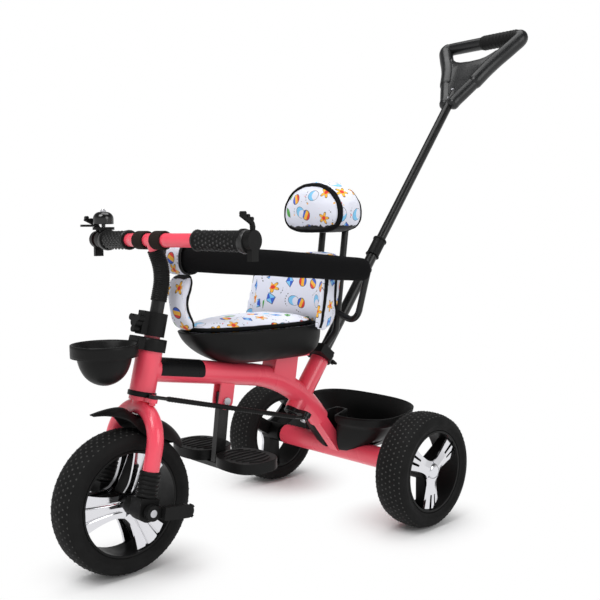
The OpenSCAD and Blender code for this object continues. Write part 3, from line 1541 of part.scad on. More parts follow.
module rear_basket() {
  color(black) difference() {
    loft(concat([for (level = tub_outer_shares) tub_ring(level)],
      [for (level = tub_inner_shares) tub_ring(level, basket_wall)]), tub_hub_share);
    translate([0, 0, rear_r]) disc_y(axle_tube_d + 2 * seat_gap, -tub_w, tub_w);
  }
}

module placed() {
  translate([-middle_x, 0, 0]) children();
}

placed() frame();
placed() head_bushes();
placed() front_basket();
placed() rear_axle();
placed() axle_bushes();
placed() axle_nuts();
placed() seat_pan();
placed() seat_cushion();
placed() back_cushion();
placed() crotch_pad();
placed() back_frame();
placed() guard_pad();
placed() headrest();
placed() rear_clamp();
placed() rear_clamp_screw();
placed() rear_basket();
placed() fork();
placed() fork_boots();
placed() fork_feet();
placed() mudguard();
placed() stem_clamp();
placed() stem_knob();
placed() stem_tube();
placed() stem_sleeve();
placed() handlebar();
placed() center_foam();
placed() left_grip();
placed() right_grip();
placed() left_horn();
placed() right_horn();
placed() bell_base();
placed() bell_dome();
placed() bell_lever();
placed() front_tyre();
placed() front_rim();
placed() front_cover_left();
placed() front_cover_right();
placed() crank_axle();
placed() left_crank();
placed() right_crank();
placed() left_pedal();
placed() right_pedal();
placed() rear_tyre(1);  // rear_left_tyre
placed() rear_rim(1);  // rear_left_rim
placed() rear_cover(1);  // rear_left_cover
placed() rear_tyre(-1);  // rear_right_tyre
placed() rear_rim(-1);  // rear_right_rim
placed() rear_cover(-1);  // rear_right_cover
placed() push_tube();
placed() push_collar();
placed() steer_lever();
placed() lever_pin();
placed() push_stem();
placed() push_handle();
placed() link_rod();
placed() footrest_post();
placed() footplate(1);  // left_footplate
placed() footplate(-1);  // right_footplate
placed() footrest_bolt();
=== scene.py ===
# %% [markdown]
# # A toddler push trike
# The trike's tubes, wheels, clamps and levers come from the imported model, where every piece is
# already in its place. This lesson gives them their finishes, rounds their edges, and models what a
# solid can't show: stuffed cushions, printed cloth, tread, ribs and trim.
# All sizes are metres. +X is forward, +Y is the rider's left and +Z is up.

# %% Load the frame
import json
import math

import bmesh
import bpy
from mathutils import Matrix, Vector, noise
from mathutils.bvhtree import BVHTree

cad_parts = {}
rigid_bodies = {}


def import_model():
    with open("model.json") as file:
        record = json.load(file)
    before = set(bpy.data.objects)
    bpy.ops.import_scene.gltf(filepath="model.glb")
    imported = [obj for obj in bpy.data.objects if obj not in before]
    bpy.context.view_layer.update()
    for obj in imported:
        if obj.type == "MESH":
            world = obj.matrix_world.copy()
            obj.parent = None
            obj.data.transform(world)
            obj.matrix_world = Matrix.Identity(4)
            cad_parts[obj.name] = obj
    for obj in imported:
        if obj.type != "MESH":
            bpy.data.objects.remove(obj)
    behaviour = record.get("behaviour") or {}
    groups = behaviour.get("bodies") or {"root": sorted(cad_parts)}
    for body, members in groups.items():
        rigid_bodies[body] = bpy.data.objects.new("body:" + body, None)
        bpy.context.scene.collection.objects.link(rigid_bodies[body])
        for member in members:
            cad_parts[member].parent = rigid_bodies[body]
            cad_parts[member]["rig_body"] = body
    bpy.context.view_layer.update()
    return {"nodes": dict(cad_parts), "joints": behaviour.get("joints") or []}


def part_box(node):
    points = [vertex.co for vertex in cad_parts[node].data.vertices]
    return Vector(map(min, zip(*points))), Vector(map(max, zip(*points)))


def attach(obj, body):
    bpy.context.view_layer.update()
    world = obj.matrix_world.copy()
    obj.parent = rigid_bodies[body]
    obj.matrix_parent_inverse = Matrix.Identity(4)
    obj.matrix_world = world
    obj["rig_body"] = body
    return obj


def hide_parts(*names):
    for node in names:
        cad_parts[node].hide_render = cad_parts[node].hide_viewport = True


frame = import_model()
scene = bpy.context.scene
joint_at = {j["name"]: Vector(j.get("pos_m") or (0, 0, 0)) for j in frame["joints"]}
joint_axis = {j["name"]: Vector(j["axis"]).normalized() for j in frame["joints"]}

# %% [markdown]
# ## Camera
# The photograph was taken from in front and to the rider's left, a little above the seat. The camera
# could be nudged by hand until it fits. Here it is set by its place and three angles, which can be read.

# %% Camera
camera_at = Vector((1.1182, 1.1134, 0.5407))
camera_yaw, camera_pitch, camera_roll = 3.9491, -0.0857, -0.0065
camera_lens_mm = 49.4

forward = Vector((math.cos(camera_yaw) * math.cos(camera_pitch),
                  math.sin(camera_yaw) * math.cos(camera_pitch), math.sin(camera_pitch)))
level_right = forward.cross((0, 0, 1)).normalized()
level_up = level_right.cross(forward)
right = level_right * math.cos(camera_roll) + level_up * math.sin(camera_roll)
up = level_up * math.cos(camera_roll) - level_right * math.sin(camera_roll)

camera = bpy.data.objects.new("camera", bpy.data.cameras.new("camera"))
scene.collection.objects.link(camera)
camera.data.lens = camera_lens_mm
camera.data.sensor_width = 36
camera.matrix_world = Matrix.Translation(camera_at) @ Matrix((right, up, -forward)).transposed().to_4x4()
scene.camera = camera
scene.view_settings.view_transform = "Standard"
print("camera at", tuple(round(v, 3) for v in camera_at))

# %% [markdown]
# ## Floor and world
# The trike stands in a white studio. The floor is a wide pale sheet: near the wheels it takes the
# shadow, and further out it fades to plain white, so that no horizon shows. Shiny pieces are shown a
# darker sky than the camera sees, because chrome that mirrors nothing but white has no visible shape.

# %% Floor and world
floor_half = 9
shadow_full, shadow_gone = 0.03, 0.18
horizon_glow, zenith_glow = 1.0, 0.16


def link_nodes(tree, *pairs):
    for source, target in pairs:
        tree.links.new(source, target)


def studio_floor():
    bm = bmesh.new()
    bmesh.ops.create_grid(bm, x_segments=1, y_segments=1, size=floor_half)
    mesh = bpy.data.meshes.new("floor")
    bm.to_mesh(mesh)
    bm.free()
    floor = bpy.data.objects.new("floor", mesh)
    scene.collection.objects.link(floor)
    mat = bpy.data.materials.new("floor_paper")
    mat.use_nodes = True
    tree = mat.node_tree
    paper = tree.nodes["Principled BSDF"]
    paper.inputs["Base Color"].default_value = (0.93, 0.93, 0.93, 1)
    paper.inputs["Roughness"].default_value = 0.9
    paper.inputs["Specular IOR Level"].default_value = 0.1
    place = tree.nodes.new("ShaderNodeTexCoord")
    nearest = None
    for name in ("front_wheel_spin", "rear_left_wheel_spin", "rear_right_wheel_spin"):
        reach = tree.nodes.new("ShaderNodeVectorMath")
        reach.operation = "DISTANCE"
        reach.inputs[1].default_value = (joint_at[name].x, joint_at[name].y, 0)
        link_nodes(tree, (place.outputs["Object"], reach.inputs[0]))
        if nearest is None:
            nearest = reach.outputs["Value"]
        else:
            closer = tree.nodes.new("ShaderNodeMath")
            closer.operation = "MINIMUM"
            link_nodes(tree, (nearest, closer.inputs[0]), (reach.outputs["Value"], closer.inputs[1]))
            nearest = closer.outputs[0]
    fade = tree.nodes.new("ShaderNodeMapRange")
    fade.interpolation_type = "SMOOTHSTEP"
    fade.inputs["From Min"].default_value = shadow_full
    fade.inputs["From Max"].default_value = shadow_gone
    white = tree.nodes.new("ShaderNodeEmission")
    mix = tree.nodes.new("ShaderNodeMixShader")
    out = tree.nodes["Material Output"]
    link_nodes(tree, (nearest, fade.inputs["Value"]),
               (fade.outputs["Result"], mix.inputs["Fac"]), (paper.outputs["BSDF"], mix.inputs[1]),
               (white.outputs["Emission"], mix.inputs[2]), (mix.outputs["Shader"], out.inputs["Surface"]))
    mesh.materials.append(mat)


def studio_world(lit):
    world = bpy.data.worlds.new("studio")
    scene.world = world
    world.use_nodes = True
    tree = world.node_tree
    seen = tree.nodes["Background"]
    seen.inputs["Color"].default_value = (1, 1, 1, 1)
    glow = tree.nodes.new("ShaderNodeBackground")
    glow.inputs["Strength"].default_value = lit
    sheen = tree.nodes.new("ShaderNodeBackground")
    way = tree.nodes.new("ShaderNodeTexCoord")
    part = tree.nodes.new("ShaderNodeSeparateXYZ")
    dim = tree.nodes.new("ShaderNodeMapRange")
    for socket, value in (("From Min", 0.02), ("From Max", 0.55),
                          ("To Min", horizon_glow), ("To Max", zenith_glow)):
        dim.inputs[socket].default_value = value
    path = tree.nodes.new("ShaderNodeLightPath")
    straight = tree.nodes.new("ShaderNodeMath")
    straight.operation = "MAXIMUM"
    lit_mix, mix = tree.nodes.new("ShaderNodeMixShader"), tree.nodes.new("ShaderNodeMixShader")
    link_nodes(tree, (way.outputs["Generated"], part.inputs[0]), (part.outputs["Z"], dim.inputs["Value"]),
               (dim.outputs["Result"], sheen.inputs["Strength"]),
               (path.outputs["Is Glossy Ray"], lit_mix.inputs["Fac"]),
               (glow.outputs[0], lit_mix.inputs[1]), (sheen.outputs[0], lit_mix.inputs[2]),
               (path.outputs["Is Camera Ray"], straight.inputs[0]),
               (path.outputs["Is Transmission Ray"], straight.inputs[1]),
               (straight.outputs[0], mix.inputs["Fac"]),
               (lit_mix.outputs[0], mix.inputs[1]), (seen.outputs[0], mix.inputs[2]),
               (mix.outputs[0], tree.nodes["World Output"].inputs["Surface"]))


def softbox(name, at, aim, size, watts):
    lamp = bpy.data.lights.new(name, "AREA")
    lamp.shape = "DISK"
    lamp.size = size
    lamp.energy = watts
    obj = bpy.data.objects.new(name, lamp)
    scene.collection.objects.link(obj)
    obj.location = at
    obj.rotation_euler = (Vector(aim) - Vector(at)).to_track_quat("-Z", "Y").to_euler()


studio_floor()
studio_world(0.55)
softbox("key", (1.6, 0.2, 2.4), (0.1, 0, 0.4), 1.4, 34)
softbox("fill", (-0.3, 2.6, 1.5), (0, 0, 0.4), 1.8, 22)
softbox("top", (-0.3, -0.2, 2.8), (0, 0, 0.3), 2.2, 30)
print("studio ready")

# %% [markdown]
# ## Finishes
# Each finish is one material. Its colour and gloss are set on the shader, and noise in the object's
# own coordinates breaks up the gloss and gives the surface its grain, so nothing slides when a part moves.


# %% Paint, plastic and metal
def srgb(r, g, b):
    def linear(v):
        v /= 255
        return v / 12.92 if v <= 0.04045 else ((v + 0.055) / 1.055) ** 2.4
    return (linear(r), linear(g), linear(b), 1)


def surface(name, colour, rough, metallic=0.0, coat=0.0, shine=0.5):
    mat = bpy.data.materials.new(name)
    mat.use_nodes = True
    shader = mat.node_tree.nodes["Principled BSDF"]
    shader.inputs["Base Color"].default_value = colour
    shader.inputs["Roughness"].default_value = rough
    shader.inputs["Metallic"].default_value = metallic
    shader.inputs["Specular IOR Level"].default_value = shine
    shader.inputs["Coat Weight"].default_value = coat
    shader.inputs["Coat Roughness"].default_value = 0.08
    return mat


def grain(mat, cell, depth, rough_low, rough_high, spread=6):
    """Fine bumps of the given cell size and depth, and gloss that drifts over a wider patch."""
    tree = mat.node_tree
    shader = tree.nodes["Principled BSDF"]
    place = tree.nodes.new("ShaderNodeTexCoord")
    fine = tree.nodes.new("ShaderNodeTexNoise")
    fine.inputs["Scale"].default_value = 1 / cell
    fine.inputs["Detail"].default_value = 3
    wide = tree.nodes.new("ShaderNodeTexNoise")
    wide.inputs["Scale"].default_value = 1 / (cell * spread)
    gloss = tree.nodes.new("ShaderNodeMapRange")
    gloss.inputs["From Min"].default_value = 0.3
    gloss.inputs["From Max"].default_value = 0.7
    gloss.inputs["To Min"].default_value = rough_low
    gloss.inputs["To Max"].default_value = rough_high
    bump = tree.nodes.new("ShaderNodeBump")
    bump.inputs["Distance"].default_value = depth
    link_nodes(tree, (place.outputs["Object"], fine.inputs["Vector"]),
               (place.outputs["Object"], wide.inputs["Vector"]), (wide.outputs["Fac"], gloss.inputs["Value"]),
               (gloss.outputs["Result"], shader.inputs["Roughness"]),
               (fine.outputs["Fac"], bump.inputs["Height"]),
               (bump.outputs["Normal"], shader.inputs["Normal"]))
    return mat


pink_paint = grain(surface("pink_paint", srgb(240, 78, 98), 0.3, coat=0.3), 0.02, 0.00002, 0.26, 0.32, 4)
black_paint = grain(surface("black_paint", srgb(14, 14, 14), 0.3, coat=0.2, shine=0.3),
                    0.003, 0.00006, 0.26, 0.4)
satin_plastic = grain(surface("satin_plastic", srgb(20, 20, 20), 0.42, shine=0.14),
                      0.0012, 0.00007, 0.38, 0.5, 20)
tub_plastic = grain(surface("tub_plastic", srgb(22, 22, 22), 0.4, shine=0.13),
                    0.0016, 0.00007, 0.34, 0.46, 25)
handle_plastic = grain(surface("handle_plastic", srgb(22, 23, 24), 0.34, coat=0.12, shine=0.34),
                       0.0012, 0.00005, 0.28, 0.4, 20)
gloss_plastic = grain(surface("gloss_plastic", srgb(14, 14, 14), 0.15, coat=0.3), 0.005, 0.00003, 0.1, 0.2)
zinc = grain(surface("zinc", srgb(196, 196, 200), 0.3, metallic=1), 0.0015, 0.00005, 0.24, 0.4)
chrome = grain(surface("chrome", srgb(222, 222, 226), 0.07, metallic=1), 0.012, 0.00005, 0.05, 0.12)
tyre_foam = grain(surface("tyre_foam", srgb(26, 26, 26), 0.7, shine=0.1), 0.0011, 0.00016, 0.62, 0.82, 18)
grip_rubber = grain(surface("grip_rubber", srgb(20, 20, 20), 0.5, shine=0.16),
                    0.0009, 0.00012, 0.45, 0.62, 20)
# A paler, glossier rubber for the grip pips and flange rings: its paler colour is a painted highlight.
pip_highlight_rubber = grain(surface("pip_highlight_rubber", srgb(38, 38, 38), 0.36, shine=0.4), 0.0009, 0.00008, 0.3, 0.45, 20)
bar_foam = grain(surface("bar_foam", srgb(40, 33, 30), 0.85, shine=0.08), 0.0014, 0.0004, 0.8, 0.95, 10)
bare_label = grain(surface("bare_label", srgb(18, 18, 19), 0.3, coat=0.06, shine=0.12),
                   0.006, 0.00002, 0.25, 0.36)
print("finishes", len(bpy.data.materials))

# %% [markdown]
# ## Rigid pieces
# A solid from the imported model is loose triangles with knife-sharp edges. Real tubes and mouldings have
# small radii that catch light. So each rigid piece is a merged copy of its solid, with flat stretches
# joined up, smooth shading broken only at real edges, and a small bevel there.


# %% Dress the solids
def place_mesh(name, bm, mat):
    mesh = bpy.data.meshes.new(name)
    bm.to_mesh(mesh)
    bm.free()
    if "custom_normal" in mesh.attributes:
        mesh.attributes.remove(mesh.attributes["custom_normal"])
    mesh.shade_smooth()
    mesh.materials.clear()
    mesh.materials.append(mat)
    piece = bpy.data.objects.new(name, mesh)
    scene.collection.objects.link(piece)
    return piece


def solid_of(node):
    bm = bmesh.new()
    bm.from_mesh(frame["nodes"][node].data)
    bmesh.ops.remove_doubles(bm, verts=bm.verts, dist=0.00002)
    return bm


def stand_for(piece, node):
    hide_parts(node)
    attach(piece, frame["nodes"][node]["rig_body"])


def dressed(node, mat, edge=0.0005, sharp=34):
    bm = solid_of(node)
    bmesh.ops.dissolve_limit(bm, angle_limit=math.radians(0.5), verts=bm.verts, edges=bm.edges)
    piece = place_mesh(node + "_finished", bm, mat)
    piece.data.set_sharp_from_angle(angle=math.radians(sharp))
    if edge:
        bevel = piece.modifiers.new("edges", "BEVEL")
        bevel.width = edge
        bevel.segments = 2
        bevel.limit_method = "ANGLE"
        bevel.angle_limit = math.radians(sharp)
    stand_for(piece, node)
    return piece


for node in ("frame", "fork", "handlebar"):
    dressed(node, pink_paint, 0.0006)
for node in ("back_frame", "stem_tube", "push_tube", "push_stem", "link_rod", "steer_lever", "footrest_post"):
    dressed(node, black_paint, 0.0005)
for node in ("head_bushes", "axle_bushes", "rear_clamp", "rear_clamp_screw", "fork_feet", "stem_clamp",
             "stem_knob", "left_horn", "right_horn", "bell_base", "bell_lever", "front_rim",
             "left_crank", "right_crank",
             "left_pedal", "right_pedal", "rear_left_rim", "rear_right_rim", "push_collar", "left_footplate",
             "right_footplate"):
    dressed(node, satin_plastic, 0.0008)
dressed("bell_dome", gloss_plastic, 0.0008)
for node in ("rear_axle", "axle_nuts", "crank_axle", "lever_pin", "footrest_bolt"):
    dressed(node, zinc, 0.0004)
for node in ("fork_boots", "left_grip", "right_grip", "stem_sleeve"):
    dressed(node, grip_rubber, 0.0006)
dressed("center_foam", bar_foam, 0.003)

# %% [markdown]
# ## Moulded shells
# Shells such as the seat pan and the baskets are lofts with a few dozen flat faces. Their
# triangles are paired back into four-sided faces, and a subdivision surface rounds them, with the rims
# creased so that they stay crisp.


# %% Moulded shells
def moulded(node, mat, crease=0.7, sharp=48, levels=2, shape=None):
    bm = solid_of(node)
    bmesh.ops.join_triangles(bm, faces=bm.faces, angle_face_threshold=math.radians(24),
                             angle_shape_threshold=math.radians(70))
    for v in bm.verts if shape else ():
        v.co = shape(v.co)
    layer = bm.edges.layers.float.get("crease_edge") or bm.edges.layers.float.new("crease_edge")
    for edge in bm.edges:
        if edge.is_manifold and edge.calc_face_angle() > math.radians(sharp):
            edge[layer] = crease
    piece = place_mesh(node + "_moulded", bm, mat)
    rounding = piece.modifiers.new("rounding", "SUBSURF")
    rounding.levels = rounding.render_levels = levels
    stand_for(piece, node)
    return piece


beak_from, beak_ramp, beak_to, beak_fade, beak_lift = 4.5, 6.5, 33, 20, 0.010
tail_from, tail_span, tail_swell, tail_drop = -5, 36, 0.018, 0.010
pan_lip, pan_lip_depth = 0.0045, 0.022


def raised_beak(p):
    """Lift the guard's crown in front of the fork's arch; angles are degrees ahead of the fork."""
    axle, up = joint_at["front_wheel_spin"], joint_axis["steering_turn"]
    out = Vector((p.x - axle.x, 0, p.z - axle.z))
    ahead = math.degrees(out.angle(up)) * (1 if out.x * up.z - out.z * up.x > 0 else -1)
    lift = 0.0
    if beak_from < ahead < beak_to:
        rise = min(1.0, (ahead - beak_from) / beak_ramp)
        lift = beak_lift * rise * rise * (3 - 2 * rise) * min(1.0, (beak_to - ahead) / beak_fade)
    elif ahead < tail_from:
        back = (tail_from - ahead) / tail_span
        lift = (tail_swell * back * (1 - back) - tail_drop * back * back
                - tail_drop * back * (p.y / 0.035) ** 2)
    return p + out.normalized() * lift * (1 - (p.y / 0.05) ** 2 * 0.5)


pan_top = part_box("seat_pan")[1].z
pan_middle = sum(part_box("seat_pan"), Vector()) / 2


def flared_rim(p):
    """Turn the pan's top edge outwards into a lip."""
    rise = max(0.0, (p.z - pan_top + pan_lip_depth) / pan_lip_depth)
    out = Vector((p.x - pan_middle.x, p.y - pan_middle.y, 0)).normalized()
    return p + out * pan_lip * rise * rise


moulded("seat_pan", satin_plastic, shape=flared_rim)
moulded("mudguard", satin_plastic, shape=raised_beak)
moulded("front_basket", tub_plastic)
moulded("rear_basket", tub_plastic)
print("shells moulded")

# %% [markdown]
# ## Tyres
# The tyres are solid foam: a broad crown with round shoulders and a plain wall that steps in at the
# rim. One half section is drawn and spun round the axle. The tread is many small pips in staggered
# rows, so each pip is only a six-sided cone.


# %% Tyres
pip_rows, pips_round = 7, 66
pip_base, pip_top, pip_rise = 0.0021, 0.0010, 0.0009


def paint_pip_highlights(mat, colour):
    """The pips' tops are painted paler than the foam, a painted highlight; the tyre marks them in an
    attribute.
    """
    tree = mat.node_tree
    shader = tree.nodes["Principled BSDF"]
    highlight_tip = tree.nodes.new("ShaderNodeAttribute")
    highlight_tip.attribute_name = "pip"
    mix = tree.nodes.new("ShaderNodeMix")
    mix.data_type = "RGBA"
    mix.inputs[6].default_value = shader.inputs["Base Color"].default_value
    mix.inputs[7].default_value = colour
    link_nodes(tree, (highlight_tip.outputs["Fac"], mix.inputs[0]), (mix.outputs[2], shader.inputs["Base Color"]))


# The paler pip colour is a painted highlight on the tread, not the foam's own colour.
paint_pip_highlights(tyre_foam, srgb(66, 66, 65))


def tyre(node, axle, rim_node):
    low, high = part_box(node)
    outer = (high.z - low.z) / 2 - pip_rise / 2
    half = (high.y - low.y) / 2
    rim_low, rim_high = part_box(rim_node)
    inner = (rim_high.z - rim_low.z) / 2 + 0.0003
    section = [(inner, half * 0.80), (inner + 0.002, half * 0.88), (inner + 0.008, half * 0.92),
               (inner + 0.0095, half * 0.97), (outer - 0.017, half), (outer - 0.010, half * 0.95),
               (outer - 0.0045, half * 0.80), (outer - 0.0012, half * 0.50), (outer, 0)]
    bm = bmesh.new()
    ring = [bm.verts.new((r, y, 0)) for r, y in section]
    ring += [bm.verts.new((r, -y, 0)) for r, y in reversed(section[:-1])]
    for a, b in zip(ring, ring[1:] + ring[:1]):
        bm.edges.new((a, b))
    bmesh.ops.spin(bm, geom=bm.verts[:] + bm.edges[:], cent=(0, 0, 0), axis=(0, 1, 0), dvec=(0, 0, 0),
                   angle=math.tau, steps=80, use_merge=True)
    bmesh.ops.recalc_face_normals(bm, faces=bm.faces)
    # Every point of a pip is marked for the painted highlight colour.
    highlight_tip = bm.verts.layers.float.new("pip")
    for row in range(pip_rows):
        across = (row - (pip_rows - 1) / 2) / (pip_rows - 1) * 2
        drop = 0.0045 * abs(across) ** 2.4
        for i in range(pips_round):
            turn = math.tau * (i + 0.5 * (row % 2)) / pips_round
            spot = (Matrix.Rotation(turn, 4, "Y")
                    @ Matrix.Translation((outer - drop, half * 0.78 * across, 0))
                    @ Matrix.Rotation(math.radians(90), 4, "Y"))
            made = bmesh.ops.create_cone(bm, cap_ends=True, segments=6, radius1=pip_base, radius2=pip_top,
                                         depth=pip_rise, matrix=spot)["verts"]
            for v in made:
                v[highlight_tip] = 1.0
    bmesh.ops.translate(bm, verts=bm.verts, vec=axle)
    piece = place_mesh(node + "_treaded", bm, tyre_foam)
    piece.data.set_sharp_from_angle(angle=math.radians(40))
    stand_for(piece, node)


tyre("front_tyre", joint_at["front_wheel_spin"], "front_rim")
tyre("rear_left_tyre", joint_at["rear_left_wheel_spin"], "rear_left_rim")
tyre("rear_right_tyre", joint_at["rear_right_wheel_spin"], "rear_right_rim")
print("pips on each tyre", pip_rows * pips_round)

# %% [markdown]
# ## Chrome wheel covers
# Each cover is a bright moulding with three broad spokes. A spoke is one grid of faces: its rows run from
# the hub to the rim and are widened to the spoke's outline, so its sides sweep in concave curves. The
# front spokes are grooved. On the rear ones faces are left out, and the black wheel shows in the slots.


# %% Wheel covers
def cover(node, axle, side, first_turn, end_half):
    low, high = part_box(node)
    foot = low.y if side > 0 else high.y
    rise = high.y - low.y
    solid = frame["nodes"][node].data.vertices
    rim = max(math.hypot(v.co.x - axle.x, v.co.z - axle.z) for v in solid) - 0.0008
    rows, columns = 26, 40
    bm = bmesh.new()
    for k in range(3):
        turn = math.radians(first_turn + 120 * k)
        made = bmesh.ops.create_grid(bm, x_segments=rows, y_segments=columns, size=1)["verts"]
        shares = {}
        for v in made:
            t, s = (v.co.x + 1) / 2, v.co.y
            open_out = max(0.0, t - 0.18) / 0.82
            root = max(0.0, 1 - t / 0.35) ** 2
            half = rim * (end_half * (0.58 + 0.42 * open_out ** 1.5) + 0.05 * root)
            across = s * half
            along = rim * 0.13 + t * (math.sqrt(rim ** 2 - across ** 2) - rim * 0.13)
            lift = 0.0062 + (rise - 0.0085) * 0.5 * max(0.0, 1 - t / 0.8) ** 1.6
            lift += 0.0030 * (1 - abs(s))
            if "front" in node:
                lift -= 0.0016 * math.exp(-((abs(s) - 0.42) / 0.06) ** 2) * min(1, t * 4)
            v.co = Vector((along, side * lift, across))
            shares[v] = (t, abs(s))
        if "rear" in node:
            slots = [f for f in {f for v in made for f in v.link_faces}
                     if min(shares[v][0] for v in f.verts) > 0.55
                     and 0.22 < sum(shares[v][1] for v in f.verts) / 4 < 0.46]
            bmesh.ops.delete(bm, geom=slots, context="FACES")
            made = [v for v in made if v.is_valid]
        bmesh.ops.rotate(bm, verts=made, cent=(0, 0, 0), matrix=Matrix.Rotation(turn, 3, "Y"))
    bmesh.ops.recalc_face_normals(bm, faces=bm.faces)
    if sum(f.normal.y for f in bm.faces) * side < 0:
        bmesh.ops.reverse_faces(bm, faces=bm.faces)
    bmesh.ops.solidify(bm, geom=bm.faces[:], thickness=0.0050)
    hub = bmesh.new()
    profile = [(0.0186, 0.002), (0.0182, rise * 0.45), (0.0150, rise * 0.52), (0.0145, rise * 0.66),
               (0.0130, rise * 0.82), (0.0108, rise * 0.93), (0.0085, rise)]
    ring = [hub.verts.new((r, side * y, 0)) for r, y in profile]
    for a, b in zip(ring, ring[1:]):
        hub.edges.new((a, b))
    bmesh.ops.spin(hub, geom=hub.verts[:] + hub.edges[:], cent=(0, 0, 0), axis=(0, 1, 0), dvec=(0, 0, 0),
                   angle=math.tau, steps=40, use_merge=True)
    if "rear" in node:
        bmesh.ops.holes_fill(hub, edges=[e for e in hub.edges if e.is_boundary
                                         and abs(e.verts[0].co.y) > rise * 0.9], sides=0)
    spare = bpy.data.meshes.new("hub_cap")
    hub.to_mesh(spare)
    hub.free()
    bm.from_mesh(spare)
    bpy.data.meshes.remove(spare)
    bmesh.ops.recalc_face_normals(bm, faces=bm.faces)
    bmesh.ops.translate(bm, verts=bm.verts, vec=(axle.x, foot, axle.z))
    piece = place_mesh(node + "_chromed", bm, chrome)
    piece.data.set_sharp_from_angle(angle=math.radians(38))
    bevel = piece.modifiers.new("edges", "BEVEL")
    bevel.width = 0.0007
    bevel.segments = 2
    bevel.limit_method = "ANGLE"
    bevel.angle_limit = math.radians(40)
    stand_for(piece, node)
    print(node, "reaches", round(rim * 1000, 1), "mm")


cover("front_cover_left", joint_at["front_wheel_spin"], 1, 0, 0.37)
cover("front_cover_right", joint_at["front_wheel_spin"], -1, 0, 0.37)
cover("rear_left_cover", joint_at["rear_left_wheel_spin"], 1, 90, 0.30)
cover("rear_right_cover", joint_at["rear_right_wheel_spin"], -1, 90, 0.30)

# %% [markdown]
# ## Push handle
# The push handle is one moulding: a flat web between two thick rolled edges, which go on as arms to a
# round grip bar. Each roll is a line of rings bridged together. From a step a third of the way up, an overlay
# makes the arms thicker, and the near half of the bar wears a ribbed rubber sleeve.


# %% Push handle
def sweep(bm, path, radii, level, segments=20, flat=1.0, domed=(True, True)):
    """Bridge rings along a path; level is a direction square to it, and ends are rounded off."""
    stations = list(zip(path, radii))
    for end, (near, beyond) in enumerate(((path[0], path[1]), (path[-1], path[-2]))):
        if not domed[end]:
            continue
        out, radius = (near - beyond).normalized(), radii[-end]
        cap = [(near + out * radius * 0.8 * math.sin(math.radians(a)), radius * math.cos(math.radians(a)))
               for a in (25, 48, 66, 80)]
        stations = stations + cap if end else cap[::-1] + stations
    rings = []
    for i, (point, radius) in enumerate(stations):
        along = (stations[min(i + 1, len(stations) - 1)][0] - stations[max(i - 1, 0)][0]).normalized()
        side = along.cross(level).normalized()
        high = side.cross(along)
        spread = Matrix((side * radius, high * radius * flat, along)).transposed().to_4x4()
        made = bmesh.ops.create_circle(bm, segments=segments, radius=1,
                                       matrix=Matrix.Translation(point) @ spread)
        rings.append(list({e for v in made["verts"] for e in v.link_edges}))
    for a, b in zip(rings, rings[1:]):
        bmesh.ops.bridge_loops(bm, edges=a + b)
    bmesh.ops.holes_fill(bm, edges=rings[0] + rings[-1], sides=0)


def smooth_path(points, steps=6):
    """A Catmull-Rom line through the points."""
    line = []
    for i in range(len(points) - 1):
        a, b, c, d = (points[max(i - 1, 0)], points[i], points[i + 1], points[min(i + 2, len(points) - 1)])
        for k in range(steps):
            t = k / steps
            bend, twist = 2 * a - 5 * b + 4 * c - d, 3 * b - a - 3 * c + d
            line.append(0.5 * (2 * b + (c - a) * t + bend * t * t + twist * t ** 3))
    return line + [points[-1]]


handle_foot, handle_up = Vector((-0.4006, 0, 0.80495)), Vector((-0.6561, 0, 0.7547))
handle_face, handle_across = Vector((0.7547, 0, 0.6561)), Vector((0, 1, 0))
arm_line = [(0.0100, 0.014), (0.0130, 0.025), (0.0215, 0.043), (0.0350, 0.073), (0.0510, 0.114),
            (0.0650, 0.142), (0.0795, 0.166), (0.0925, 0.188), (0.0985, 0.1985)]
corner_line = [(0.0985, 0.1985), (0.1000, 0.2065), (0.0965, 0.2125), (0.0880, 0.2145), (0.0600, 0.2148),
               (0.0300, 0.2150)]
handle_tube_r, handle_arm_r = 0.0138, 0.0162
plate_half = 0.0105


def on_handle(out, rise, front=0.0):
    return handle_foot + handle_across * out + handle_up * rise + handle_face * front


def push_handle():
    bm = bmesh.new()
    half = arm_line[:-1] + corner_line
    loop = smooth_path([on_handle(y, z) for y, z in half] + [on_handle(0, 0.215)]
                       + [on_handle(-y, z) for y, z in reversed(half)], 7)
    sweep(bm, loop, [handle_tube_r] * len(loop), handle_face, flat=1.04)
    for side in (1, -1):
        line = smooth_path([on_handle(side * y, z) for y, z in arm_line + corner_line[1:3]], 7)
        step = next(i for i, p in enumerate(line) if (p - handle_foot).dot(handle_up) > 0.074)
        sweep(bm, line[step:], [handle_arm_r] * (len(line) - step), handle_face, flat=1.02)
    edge = [(-y * 0.95, z) for y, z in reversed(arm_line[:6])] + [(y * 0.95, z) for y, z in arm_line[:6]]
    edge += [(0.060, 0.166), (0.052, 0.158), (0.040, 0.149), (0.026, 0.1440), (0, 0.1420), (-0.026, 0.1440),
             (-0.040, 0.149), (-0.052, 0.158), (-0.060, 0.166)]
    plate = bm.faces.new([bm.verts.new(on_handle(y, z, -plate_half)) for y, z in edge])
    grown = bmesh.ops.extrude_face_region(bm, geom=[plate])["geom"]
    lifted = [g for g in grown if isinstance(g, bmesh.types.BMVert)]
    bmesh.ops.translate(bm, verts=lifted, vec=handle_face * (2 * plate_half))
    top = next(g for g in grown if isinstance(g, bmesh.types.BMFace))
    bmesh.ops.inset_region(bm, faces=[top], thickness=0.006, depth=-0.0016)
    bmesh.ops.recalc_face_normals(bm, faces=bm.faces)
    piece = place_mesh("push_handle_moulded", bm, handle_plastic)
    piece.data.set_sharp_from_angle(angle=math.radians(36))
    stand_for(piece, "push_handle")


